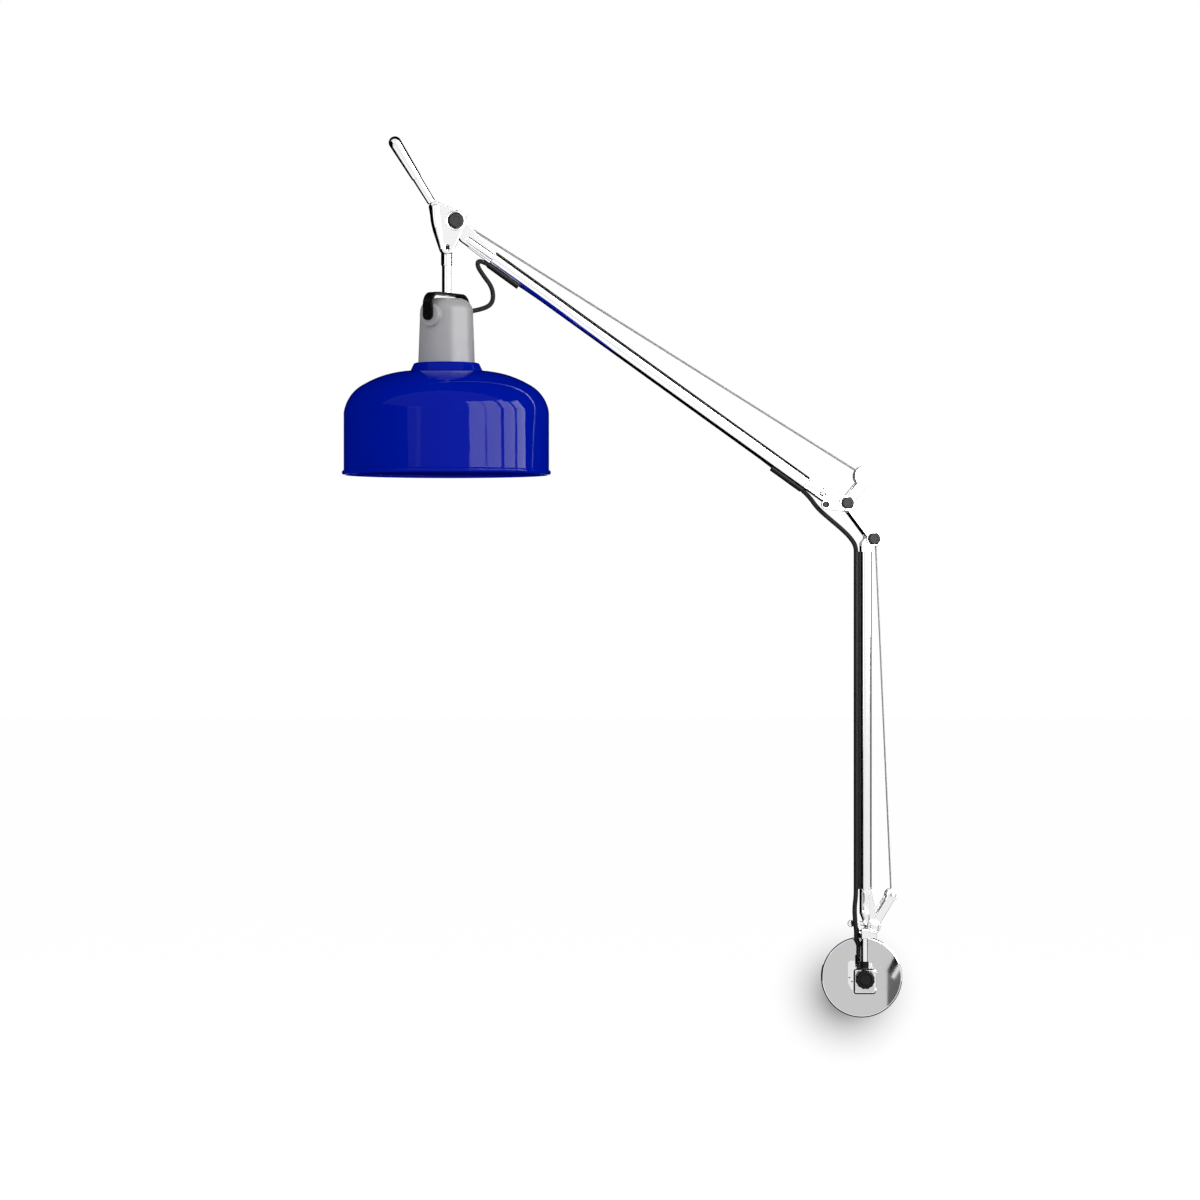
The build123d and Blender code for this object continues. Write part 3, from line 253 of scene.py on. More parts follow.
def polished_metal(name, colour, roughness, grain):
    """Polished metal with faint handling wear; grain is the wear's depth in metres."""
    shader = Shader(name)
    cloud = shader.noise(shader.place(), 60.0, 4.0)
    fine = shader.noise(shader.place((1, 1, 0.2)), 900.0, 2.0)
    return shader.surface(
        Base_Color=shader.mixed(cloud * 0.3, rgb(colour), rgb([c * 0.93 for c in colour])),
        Metallic=1.0,
        Roughness=cloud * 0.06 + roughness,
        Normal=shader.bumped(fine, 0.15, grain))


def mirror_metal(name, colour):
    """Mirror-polished plating."""
    shader = Shader(name)
    cloud = shader.noise(shader.place(), 40.0, 3.0)
    return shader.surface(Base_Color=rgb(colour), Metallic=1.0,
                          Roughness=cloud * 0.02 + 0.005)


def moulded(shader, colour, shine):
    """Plastic of a colour with a fine spark-eroded texture."""
    fine = shader.noise(shader.place(), 2500.0, 2.0)
    return shader.surface(Base_Color=colour, Roughness=fine * 0.15 + 0.4,
                          Specular_IOR_Level=shine,
                          Normal=shader.bumped(fine, 0.25, 0.00004))


def satin_plastic(name, colour):
    """Black moulded plastic."""
    return moulded(Shader(name), rgb(colour), 0.12)


def rimmed_cap(name, colour, rim):
    """Pivot cap with a dished face and a darker rim round it."""
    shader = Shader(name)
    flat = shader.place((1, 0, 1))
    away = 1.0
    for pivot, face_r in CAP_FACES:
        x, _, z = arm_point(*pivot, CAP_FRONT)
        distance = shader.distance(flat, (x, 0, z)) / (face_r * MM)
        away = distance.maths("MINIMUM", distance, away)
    return moulded(shader, shader.mixed(away > FACE_EDGE, rgb(colour), rgb(rim)), 0.15)


def black_lacquer(name, colour):
    """Stove lacquer on steel, a little uneven."""
    shader = Shader(name)
    cloud = shader.noise(shader.place(), 180.0, 3.0)
    return shader.surface(Base_Color=rgb(colour), Roughness=cloud * 0.12 + 0.22,
                          Specular_IOR_Level=0.12,
                          Normal=shader.bumped(cloud, 0.12, 0.0001))


def blue_enamel(name, colour, deep):
    """Vitreous enamel: deep colour under a glassy, slightly rippled surface."""
    shader = Shader(name)
    ripple = shader.noise(shader.place(), 24.0, 2.0)
    return shader.surface(
        Base_Color=shader.mixed(ripple, rgb(colour), rgb(deep)),
        Roughness=0.05,
        IOR=1.5,
        Specular_IOR_Level=0.06,
        Normal=shader.bumped(ripple, 0.1, 0.0006))


def glazed_porcelain(name, colour):
    """Grey glaze with faint mottling and a soft shine."""
    shader = Shader(name)
    cloud = shader.noise(shader.place(), 90.0, 4.0)
    return shader.surface(
        Base_Color=shader.mixed(cloud, rgb(colour), rgb([c * 0.9 for c in colour])),
        Roughness=cloud * 0.1 + 0.3,
        Specular_IOR_Level=0.14,
        Normal=shader.bumped(cloud, 0.15, 0.0003))


def braided_lead(name, colour, braid_glint):
    """Textile braid: two crossing sets of strands with painted glints, pale spots on their raised crossings
    standing in for light caught by the strands, on the lead's own UV map.
    """
    shader = Shader(name)
    on_lead = shader.add("ShaderNodeTexCoord")[2]
    u, v, _ = shader.add("ShaderNodeSeparateXYZ", None, {"Vector": on_lead})
    turns = BRAID_STRANDS * math.tau
    right = (u * turns + v * turns).sine()
    left = (u * turns - v * turns).sine()
    weave = right * left
    # Painted glints: pale spots on the raised crossings of the weave, standing in for light caught by the
    # strands
    spot = shader.noise(shader.scaled(on_lead, GLINT_SPREAD), 1.0, 1.0)
    glints = ((weave > GLINT_RAISED) * (spot > GLINT_SPOT)).clamped()
    return shader.surface(
        Base_Color=shader.mixed(glints, rgb(colour), rgb(braid_glint)),
        Roughness=0.72,
        Specular_IOR_Level=0.15,
        Normal=shader.bumped(weave, 0.7, 0.00025))


def socket_brass(name, colour):
    """Plain spun brass, a little dulled."""
    shader = Shader(name)
    cloud = shader.noise(shader.place(), 120.0, 4.0)
    return shader.surface(Base_Color=rgb(colour), Metallic=1.0,
                          Roughness=cloud * 0.15 + 0.25)


# ---------------------------------------------------------------- sizes and colours
def finish_colour(name, description, default):
    """A colour that the panel shows."""
    return bpy.props.FloatVectorProperty(name=name, description=description, subtype="COLOR",
                                         size=3, min=0.0, max=1.0, default=default)


class LampFinishes(bpy.types.PropertyGroup):
    """Colours of the lamp's finishes."""

    metal: finish_colour(
        "Metal", "Polished aluminium of arms and castings", (0.93, 0.93, 0.94))
    rose: finish_colour(
        "Rose", "Mirror-polished wall rose", (0.9, 0.9, 0.91))
    zinc: finish_colour(
        "Zinc", "Plated springs, sheaves and backplate", (0.62, 0.62, 0.64))
    plastic: finish_colour(
        "Plastic", "Black caps, knob, guides and channel", (0.006, 0.006, 0.007))
    cap: finish_colour(
        "Cap face", "Dark grey faces of the pivot caps", (0.024, 0.024, 0.026))
    lacquer: finish_colour(
        "Lacquer", "Black lacquered steel", (0.005, 0.005, 0.006))
    rope: finish_colour(
        "Wire", "Twisted steel wires", (0.17, 0.17, 0.175))
    braid: finish_colour(
        "Braid", "Lead's black textile braid", (0.008, 0.008, 0.009))
    # Colour of the painted glints on the braid, which stand in for light caught by the strands
    braid_glint: finish_colour(
        "Glint", "Pale flecks in the braid", (0.12, 0.12, 0.13))
    porcelain: finish_colour(
        "Porcelain", "Grey glaze of the lampholder", (0.5, 0.5, 0.505))
    brass: finish_colour(
        "Brass", "Socket's shell and contact", (0.78, 0.6, 0.28))
    enamel: finish_colour(
        "Enamel", "Shade's cobalt blue", (0.0, 0.011, 0.46))
    enamel_deep: finish_colour(
        "Deep enamel", "Cobalt blue where the enamel is thicker", (0.0, 0.009, 0.4))


class LampSizes(bpy.types.PropertyGroup):
    """Sizes of the pieces made here."""

    lead_width: bpy.props.FloatProperty(
        name="Lead", description="Diameter of the braided lead",
        subtype="DISTANCE", unit="LENGTH", min=0.003, max=0.006, default=0.0045)
    lower_wire: bpy.props.FloatProperty(
        name="Lower wire", description="Diameter of the lower arm's wire",
        subtype="DISTANCE", unit="LENGTH", min=0.001, max=0.003, default=0.0017)
    upper_wire: bpy.props.FloatProperty(
        name="Upper wire", description="Diameter of the upper arm's wire",
        subtype="DISTANCE", unit="LENGTH", min=0.001, max=0.003, default=0.0021)
    turning_steps: bpy.props.IntProperty(
        name="Turning steps", description="Faces round a turned piece",
        min=24, max=256, default=144)


class StudioSettings(bpy.types.PropertyGroup):
    """The studio round the lamp."""

    floor_level: bpy.props.FloatProperty(
        name="Floor", description="Height of the floor",
        subtype="DISTANCE", unit="LENGTH", default=-0.62)
    ambient: bpy.props.FloatProperty(
        name="Ambient", description="Strength of the light from all round",
        min=0.0, max=2.0, default=0.45)
    mirrored: bpy.props.FloatProperty(
        name="Mirrored", description="Brightness of the surroundings in polished surfaces",
        min=0.0, max=1.0, default=0.86)
    key: bpy.props.FloatProperty(
        name="Key light", description="Power of the large light at the right",
        subtype="POWER", unit="POWER", min=0.0, default=34.0)
    lens: bpy.props.FloatProperty(
        name="Lens", description="Focal length of the camera in millimetres",
        min=20.0, max=300.0, default=121.3)


GROUPS = {"lamp_finishes": LampFinishes, "lamp_sizes": LampSizes,
          "lamp_studio": StudioSettings}
MATERIALS = {}
# Roughness of a metal's finish, and the depth of its wear in metres
POLISHED = (0.07, 0.000002)
PLATED = (0.3, 0.00002)
DRAWN = (0.6, 0.00001)


def finish(name):
    """The material of a slot, made when it is first asked for."""
    if name not in MATERIALS:
        colours = bpy.context.scene.lamp_finishes
        makers = {
            "polished": lambda: polished_metal(name, colours.metal, *POLISHED),
            "mirror_chrome": lambda: mirror_metal(name, colours.rose),
            "zinc_steel": lambda: polished_metal(name, colours.zinc, *PLATED),
            "black_plastic": lambda: satin_plastic(name, colours.plastic),
            "pivot_cap": lambda: rimmed_cap(name, colours.cap, colours.plastic),
            "black_steel": lambda: black_lacquer(name, colours.lacquer),
            "steel_rope": lambda: polished_metal(name, colours.rope, *DRAWN),
            "braided_lead": lambda: braided_lead(name, colours.braid, colours.braid_glint),
            "glazed_porcelain": lambda: glazed_porcelain(name, colours.porcelain),
            "brass_contact": lambda: socket_brass(name, colours.brass),
            "blue_enamel": lambda: blue_enamel(name, colours.enamel, colours.enamel_deep),
        }
        MATERIALS[name] = makers[name]()
    return MATERIALS[name]


# ---------------------------------------------------------------- making pieces
# Angles under which an edge is smooth: dressed nodes, the shade, the lead and the strands
SMOOTH_BELOW, SMOOTH_SHADE, SMOOTH_LEAD, SMOOTH_STRAND = (
    math.radians(degrees) for degrees in (34, 50, 60, 70))
FLAT_BELOW = math.radians(0.2)
BEVEL_ABOVE = math.radians(40)
BEVEL_STEPS = 3
BROKEN_EDGE = 0.0004
CAST_EDGE = 0.0009
CASTINGS = ("post_head", "lower_foot", "lower_fork", "elbow_link", "upper_foot",
            "upper_fork", "head_casting")
MERGE = 0.000002
# Finishes of pieces whose look differs from their material slot's
OTHER_FINISH = {"elbow_caps": "pivot_cap", "head_pivot_cap": "pivot_cap",
                "upper_set_screws": "black_steel", "lower_set_screw": "black_steel",
                "post_lever_bolt": "zinc_steel"}


def slot_of(node):
    """Material slot of a node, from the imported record."""
    return next(row["material_slot"] for row in frame["record"]["subparts"]
                if row["node"] == node)


def nodes_in(*slots):
    """Nodes with any of some material slots."""
    return [node for node in frame["nodes"] if slot_of(node) in slots]


def body_with(node):
    """Body that a node rides on."""
    return frame["nodes"][node]["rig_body"]


def settle(bm, name, finish_name, smooth=SMOOTH_BELOW):
    """Writes a bmesh to a new object with smooth faces and sharp edges past an angle."""
    for face in bm.faces:
        face.smooth = True
    for edge in bm.edges:
        edge.smooth = edge.is_manifold and edge.calc_face_angle() < smooth
    name = name.lower().replace(" ", "_")
    mesh = bpy.data.meshes.new(name)
    bm.to_mesh(mesh)
    bm.free()
    mesh.materials.append(finish(finish_name))
    piece = bpy.data.objects.new(name, mesh)
    bpy.context.scene.collection.objects.link(piece)
    return piece


def stands_for(piece, *nodes):
    """The piece replaces nodes and rides on their body."""
    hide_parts(*nodes)
    slot_of(nodes[0])
    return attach(piece, body_with(nodes[0]))


def dressed(node, bevel=0.0):
    """A smooth copy of a rigid node, with its edges broken by a bevel's width in metres."""
    bm = bmesh.new()
    bm.from_mesh(frame["nodes"][node].data)
    bmesh.ops.remove_doubles(bm, verts=bm.verts, dist=MERGE)
    bmesh.ops.dissolve_limit(bm, angle_limit=FLAT_BELOW, verts=bm.verts,
                             edges=bm.edges, delimit={"NORMAL"})
    piece = settle(bm, "Finished " + node.replace("_", " "),
                   OTHER_FINISH.get(node, slot_of(node)))
    if bevel:
        rounding = piece.modifiers.new("Broken edges", "BEVEL")
        rounding.width = bevel
        rounding.segments = BEVEL_STEPS
        rounding.limit_method = "ANGLE"
        rounding.angle_limit = BEVEL_ABOVE
        rounding.harden_normals = True
        rounding.use_clamp_overlap = False
    return stands_for(piece, node)


def arc(start, middle, end, count):
    """Points of the arc through three points of a profile, its start left out."""
    (ax, ay), (bx, by), (cx, cy) = start, middle, end
    twice = 2 * (ax * (by - cy) + bx * (cy - ay) + cx * (ay - by))
    squares = [x * x + y * y for x, y in (start, middle, end)]
    x0 = (squares[0] * (by - cy) + squares[1] * (cy - ay) + squares[2] * (ay - by)) / twice
    y0 = (squares[0] * (cx - bx) + squares[1] * (ax - cx) + squares[2] * (bx - ax)) / twice
    radius = math.hypot(ax - x0, ay - y0)
    first, last = math.atan2(ay - y0, ax - x0), math.atan2(cy - y0, cx - x0)
    sweep = math.remainder(last - first, math.tau)
    return [(x0 + radius * math.cos(first + sweep * step / count),
             y0 + radius * math.sin(first + sweep * step / count))
            for step in range(1, count + 1)]


def turned(name, profile, finish_name, smooth=SMOOTH_BELOW):
    """A closed profile of radius and depth below the head pivot, spun round the lamp's axis."""
    bm = bmesh.new()
    centre = LAMP_AXIS + Vector((0, 0, HEAD_Z))
    ring = [bm.verts.new(centre + Vector((radius * MM, 0, -depth * MM)))
            for radius, depth in profile]
    for pair in zip(ring, ring[1:] + ring[:1]):
        bm.edges.new(pair)
    bmesh.ops.spin(bm, geom=bm.verts[:] + bm.edges[:], axis=(0, 0, 1), cent=centre,
                   angle=math.tau, steps=bpy.context.scene.lamp_sizes.turning_steps,
                   use_merge=True)
    bmesh.ops.remove_doubles(bm, verts=bm.verts, dist=MERGE)
    bmesh.ops.recalc_face_normals(bm, faces=bm.faces)
    return settle(bm, name, finish_name, smooth)


# ---------------------------------------------------------------- leads and wires
CURVE_STEPS = 14
LEAD_SIDES = 20
STRANDS = 6
STRAND_SIDES, CORE_SIDES = 7, 8
STRAND_FILL = 1.04       # a strand's width as a share of a third of the wire's
LAY_LENGTH = 9.0         # length of a strand's turn, in wire diameters
STEPS_A_TURN = 14
END_REACH = 0.0004       # how far from a wire's end its end ring's vertices lie


def route_of(points):
    """Points along the smooth line that the control points give."""
    line = bpy.data.curves.new("Route", "CURVE")
    line.dimensions = "3D"
    spline = line.splines.new("NURBS")
    spline.points.add(len(points) - 1)
    for point, where in zip(spline.points, points):
        point.co = (*where, 1.0)
    spline.order_u = 3
    spline.use_endpoint_u = True
    line.resolution_u = CURVE_STEPS
    holder = bpy.data.objects.new("Route", line)
    mesh = bpy.data.meshes.new_from_object(holder)
    found = [vertex.co.copy() for vertex in mesh.vertices]
    bpy.data.objects.remove(holder)
    bpy.data.curves.remove(line)
    bpy.data.meshes.remove(mesh)
    return found


def frames_along(path):
    """A matrix at each point of a path, its Z along the path and its turn carried smoothly."""
    frames = []
    ahead = (path[1] - path[0]).normalized()
    turn = ahead.to_track_quat("Z", "Y")
    for index, point in enumerate(path):
        before = path[max(index - 1, 0)]
        after = path[min(index + 1, len(path) - 1)]
        way = (after - before).normalized()
        turn = ahead.rotation_difference(way) @ turn
        ahead = way
        frames.append(Matrix.Translation(point) @ turn.to_matrix().to_4x4())
    return frames


def sleeve(bm, path, radius, sides, uv_name=None):
    """A closed tube along a path, with a UV map that runs with it where a name is given."""
    frames = frames_along(path)
    layers = bm.verts.layers
    for kind, layer in ((layers.int, "turn"), (layers.float, "along")):
        if layer not in kind:
            kind.new(layer)
    if uv_name:
        bm.loops.layers.uv.new(uv_name)
    turn, along = layers.int["turn"], layers.float["along"]
    ring = bmesh.ops.create_circle(bm, segments=sides, radius=radius, matrix=frames[0])["verts"]
    for index, vertex in enumerate(ring):
        vertex[turn] = index
    edges = list({edge for vertex in ring for edge in vertex.link_edges})
    first_edges = list(edges)
    made = []
    travelled = 0.0
    for before, after in zip(frames, frames[1:]):
        travelled += (after.translation - before.translation).length
        grown = bmesh.ops.extrude_edge_only(bm, edges=edges)["geom"]
        fresh = [item for item in grown if isinstance(item, bmesh.types.BMVert)]
        edges = [item for item in grown if isinstance(item, bmesh.types.BMEdge)
                 and all(vertex in fresh for vertex in item.verts)]
        made += [item for item in grown if isinstance(item, bmesh.types.BMFace)]
        bmesh.ops.transform(bm, matrix=after @ before.inverted(), verts=fresh)
        for vertex in fresh:
            vertex[along] = travelled
    if uv_name:
        uv = bm.loops.layers.uv[uv_name]
        for face in made:
            turns = [loop.vert[turn] for loop in face.loops]
            wraps = max(turns) - min(turns) > 1
            for loop in face.loops:
                step = loop.vert[turn]
                if wraps and step == 0:
                    step = sides
                loop[uv].uv = (step / sides, loop.vert[along] / (math.tau * radius))
    bmesh.ops.edgeloop_fill(bm, edges=first_edges)
    bmesh.ops.edgeloop_fill(bm, edges=edges)


def strung(bm, name, node, slot, smooth):
    """A lead or wire of a bmesh, standing for its node; its bodies come after."""
    bmesh.ops.recalc_face_normals(bm, faces=bm.faces)
    piece = settle(bm, name, slot, smooth)
    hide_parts(node)
    return piece


def braided(name, points, node):
    """A stretch of the lead through its control points, standing for its node."""
    bm = bmesh.new()
    sleeve(bm, route_of(points), bpy.context.scene.lamp_sizes.lead_width / 2, LEAD_SIDES,
           "UVMap")
    return strung(bm, name, node, "braided_lead", SMOOTH_LEAD)


def wire_ends(node):
    """Middles of the two ends of a straight wire's node."""
    low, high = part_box(node)
    spots = [vertex.co.copy() for vertex in frame["nodes"][node].data.vertices]
    upright = high.z - low.z > high.x - low.x
    key = (lambda spot: spot.z) if upright else (lambda spot: -spot.x)
    spots.sort(key=key)
    foot = [spot for spot in spots if key(spot) < key(spots[0]) + END_REACH]
    head = [spot for spot in spots if key(spot) > key(spots[-1]) - END_REACH]
    return (sum(foot, Vector()) / len(foot), sum(head, Vector()) / len(head))


def twisted(name, ends, width, node):
    """Strands laid round a core, from one end of a wire to the other."""
    foot, head = ends
    length = (head - foot).length
    strand = width / 2 / 3 * STRAND_FILL
    turn_at = (head - foot).to_track_quat("Z", "Y").to_matrix().to_4x4()
    steps = int(length / (LAY_LENGTH * width) * STEPS_A_TURN)
    bm = bmesh.new()
    for index in range(STRANDS):
        path = []
        for step in range(steps + 1):
            share = step / steps
            angle = math.tau * (index / STRANDS + share * length / (LAY_LENGTH * width))
            spot = Vector((math.cos(angle), math.sin(angle), 0)) * (width / 2 - strand)
            path.append(foot + turn_at @ (spot + Vector((0, 0, share * length))))
        sleeve(bm, path, strand, STRAND_SIDES)
    sleeve(bm, [foot, head], strand, CORE_SIDES)
    return strung(bm, name, node, "steel_rope", SMOOTH_STRAND)


def stretch_between(piece, lever_body, arm_body, pivot, ends):
    """The wire stays straight between a lever's tip and its sheave as the arm turns."""
    tip, sheave = ends
    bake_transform(piece, lever_body, arm_body, tip, sheave)
    way = (sheave - tip).normalized()
    length = (sheave - tip).length
    lead_in = (tip - pivot).dot(way)
    weights = piece.data.attributes["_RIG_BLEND"].data
    for vertex, weight in zip(piece.data.vertices, weights):
        gone = min(max((vertex.co - tip).dot(way), 0.0), length)
        weight.value = gone / length * (lead_in + length) / (lead_in + gone)


# ---------------------------------------------------------------- the lead's route
# Control points in millimetres, the same as the solid lead's corners
UPPER_FOOT, UPPER_MOUTH = 44.0, 420.0
LOWER_FOOT, LOWER_MOUTH = 36.5, 366.5
LEAD_BESIDE = 16.2
LEAD_DIVE, LEAD_OUT = 36.0, 10.0
LEAD_INSIDE, LEAD_AT_HEAD, LEAD_AT_ELBOW = 10.85, 14.9, 14.4
HEAD_SLOPE = (LEAD_AT_HEAD - LEAD_INSIDE) / LEAD_DIVE
ELBOW_SLOPE = (LEAD_AT_ELBOW - LEAD_INSIDE) / LEAD_DIVE
LOOP_DROP = 86.1
HOLDER_ENTRY = 23.9
LEAD_BACK = 6.95
HUB_TOP = 12.4
WALL_END = 2.1


def beside(pivot, right, up, w=0.0):
    """Point to the right of a pivot and above it."""
    return arm_point(pivot[0] + right, pivot[1] + up, w)


def halfway(a, b):
    """Middle of two points."""
    return (a + b) / 2


def loop_route():
    """From the upper tube's end round to the lampholder's side."""
    return [upper_point(UPPER_MOUTH, LEAD_AT_HEAD),
            upper_point(UPPER_MOUTH + LEAD_OUT, LEAD_AT_HEAD + LEAD_OUT * HEAD_SLOPE),
            beside(HEAD_PIVOT, 22.0, -42.2), beside(HEAD_PIVOT, 28.2, -51.7),
            beside(HEAD_PIVOT, 37.4, -63.7), beside(HEAD_PIVOT, 37.8, -77.7),
            beside(HEAD_PIVOT, 28.7, -83.9),
            LAMP_AXIS + ARM_U * HOLDER_ENTRY * MM + ARM_V * (HEAD_Z - LOOP_DROP * MM)]


def elbow_route():
    """From the upper tube's end round the elbow to the lower tube's channel."""
    return [upper_point(UPPER_FOOT, LEAD_AT_ELBOW),
            upper_point(UPPER_FOOT - LEAD_OUT, LEAD_AT_ELBOW + LEAD_OUT * ELBOW_SLOPE),
            beside(ELBOW_LOW, -55.1, 30.1), beside(ELBOW_LOW, -44.0, 20.6),
            beside(ELBOW_LOW, -30.2, 9.4), beside(ELBOW_LOW, -20.8, 0.2),
            lower_point(LOWER_MOUTH + 4.8, LEAD_BESIDE),
            lower_point(LOWER_MOUTH, LEAD_BESIDE)]


def foot_route():
    """From the lower tube's foot, behind the post and down into the hub."""
    return [lower_point(LOWER_FOOT, LEAD_BESIDE), lower_point(LOWER_FOOT - 7, LEAD_BESIDE),
            beside(POST_PIVOT, -17.7, 18.2), beside(POST_PIVOT, -17.0, 5.2),
            beside(POST_PIVOT, -15.4, -4.8, -1.6), beside(POST_PIVOT, -15.0, -12.8, -4.4),
            beside(POST_PIVOT, -9.0, -20.8, -LEAD_BACK),
            HUB + Vector((0, LEAD_BACK, 23.0)) * MM,
            HUB + Vector((0, LEAD_BACK, HUB_TOP)) * MM]


# ---------------------------------------------------------------- the lamp's shade
COLLAR_TOP, COLLAR_FOOT = 136.3, 144.2
COLLAR_TOP_R, COLLAR_FOOT_R = 31.7, 34.9
SLEEVE_R = 19.9
SHADE_R, SHADE_ROUND = 98.7, 39.0
SHADE_BEAD, BEAD_R, SHEET = 241.5, 2.35, 1.1
BEAD_STEPS = 20
# The shoulder's curve, as shares of the shade's radius and of its rounded depth
SHOULDER = ((0.6, 0.1), (0.8, 0.32), (0.937, 0.62))


def shade_profile():
    """Outer and inner skin of the shade and its rolled bead, as radius and depth."""
    top = COLLAR_TOP + 0.05
    high, shoulder, low = [(across * SHADE_R, COLLAR_FOOT + down * SHADE_ROUND)
                           for across, down in SHOULDER]
    wall_top = (SHADE_R, COLLAR_FOOT + SHADE_ROUND + 1.1)
    outer = [(SLEEVE_R + 0.2, top), (COLLAR_TOP_R - 1.5, top)]
    outer += arc(outer[-1], (COLLAR_TOP_R - 0.3, top + 0.6), (COLLAR_TOP_R + 0.4, top + 2), 4)
    outer += [(COLLAR_FOOT_R, COLLAR_FOOT)]
    outer += arc(outer[-1], high, shoulder, 10) + arc(shoulder, low, wall_top, 12)
    inner = []
    for before, at, after in zip([outer[0]] + outer, outer, outer[1:] + [outer[-1]]):
        dx, dy = after[0] - before[0], after[1] - before[1]
        size = math.hypot(dx, dy)
        inner.append((at[0] - SHEET * dy / size, at[1] + SHEET * dx / size))
    inner[-1] = (SHADE_R - SHEET, wall_top[1])
    middle = (SHADE_R - SHEET / 2, SHADE_BEAD)
    start = math.asin(SHEET / 2 / BEAD_R)
    turn = math.tau - 2 * start
    bead = [(middle[0] + BEAD_R * math.sin(start + turn * step / BEAD_STEPS),
             middle[1] - BEAD_R * math.cos(start + turn * step / BEAD_STEPS))
            for step in range(BEAD_STEPS + 1)]
    return outer + bead + inner[::-1]


# ---------------------------------------------------------------- the castings' details
# Rounded rings round the pivots' caps: node, pivot, middle radius, bead and face height
EYE_RINGS = (
    ("head_casting", HEAD_PIVOT, 8.55, 1.15, 7.7),
    ("elbow_link", ELBOW_HIGH, 6.95, 1.05, 7.7),
    ("elbow_link", ELBOW_LOW, 6.7, 0.8, 7.7),
    ("post_head", POST_PIVOT, 5.7, 0.9, 7.7),
)
# Round necks of the castings: node, and along, beside, height towards the room and radius
# at each point, on the upper or lower arm
UPPER_NECKS = (
    ("upper_fork", ((419, 7.0, 2.4, 4.1), (440, 7.1, 2.4, 3.9), (450, 7.1, 2.4, 3.8))),
    ("upper_fork", ((420, 12.4, 1.6, 1.3), (445, 12.1, 1.6, 1.2))),
    ("upper_foot", ((44.5, 6.4, 2.2, 4.1), (34, 5.4, 2.2, 4.1), (25, 4.6, 2.2, 4.0))),
    ("upper_foot", ((26.4, 4.7, 2.2, 4.9), (24.4, 4.5, 2.2, 4.9))),
)
LOWER_NECKS = (
    ("lower_foot", ((37, 6.85, 1.8, 4.2), (24, 6.85, 1.8, 4.1), (12, 5.8, 1.8, 3.6))),
    ("lower_fork", ((366, 6.6, 1.8, 3.5), (368, 6.4, 1.8, 3.4), (370, 6.0, 1.8, 3.3))),
)
# Rounded spine of the head casting: from the head pivot to the right, up, out and radius
HEAD_SPINE = ((-20.0, 13.5, 5.6, 4.6), (-19.6, 4.0, 5.6, 4.8), (-17.8, -7.0, 5.6, 4.5),
              (-15.0, -17.0, 5.6, 3.4), (-12.9, -26.5, 5.6, 2.3))
BAR_SIDES = 32
DOME_SHARE = 0.35        # height of a bar's domed end, as a share of its radius
DOME_TURNS = [math.radians(degrees) for degrees in (82, 60, 40, 20)]
BEAD_SIDES, RING_STEPS = 20, 72


def domed_end(place, radius, way):
    """Rings of a bar's domed end from its tip inwards: each one's matrix and radius."""
    return [(place @ Matrix.Translation((0, 0, way * DOME_SHARE * radius * math.sin(turn))),
             radius * (1 - DOME_SHARE + DOME_SHARE * math.cos(turn))) for turn in DOME_TURNS]


def rounded_bar(name, points, radii, node):
    """A round bar through points with a radius at each in metres, and domed ends."""
    frames = frames_along(points)
    stations = [*domed_end(frames[0], radii[0], -1), *zip(frames, radii),
                *domed_end(frames[-1], radii[-1], 1)[::-1]]
    bm = bmesh.new()
    rings = []
    for index, (place, radius) in enumerate(stations):
        ring = bmesh.ops.create_circle(bm, segments=BAR_SIDES, radius=radius, matrix=place,
                                       cap_ends=index in (0, len(stations) - 1))["verts"]
        rings.append(list({edge for vertex in ring for edge in vertex.link_edges}))
    for before, after in zip(rings, rings[1:]):
        bmesh.ops.bridge_loops(bm, edges=before + after)
    bmesh.ops.recalc_face_normals(bm, faces=bm.faces)
    return stands_for(settle(bm, name, "polished"), node)


def smooth_path(points, steps=6):
    """Points and radii along a quadratic curve through the middles of a control path."""
    rows = [Vector(point) for point in points]
    middles = [rows[0]] + [(a + b) / 2 for a, b in zip(rows[1:], rows[2:-1])] + [rows[-1]]
    path = [rows[0]]
    for start, bend, end in zip(middles, rows[1:-1], middles[1:]):
        for step in range(1, steps + 1):
            share = step / steps
            path.append(start.lerp(bend, share).lerp(bend.lerp(end, share), share))
    return path


def eye_ring(node, pivot, ring_r, bead_r, face):
    """A rounded ring round a pivot, on a casting's face."""
    centre = arm_point(*pivot, face)
    bm = bmesh.new()
    bmesh.ops.create_circle(bm, segments=BEAD_SIDES, radius=bead_r * MM,
                            matrix=Matrix.Translation(centre + ARM_U * ring_r * MM))
    bmesh.ops.spin(bm, geom=bm.verts[:] + bm.edges[:], axis=ARM_W, cent=centre,
                   angle=math.tau, steps=RING_STEPS, use_merge=True)
    bmesh.ops.remove_doubles(bm, verts=bm.verts, dist=MERGE)
    bmesh.ops.recalc_face_normals(bm, faces=bm.faces)
    return stands_for(settle(bm, f"Eye ring at {round(pivot[1])}", "polished"), node)


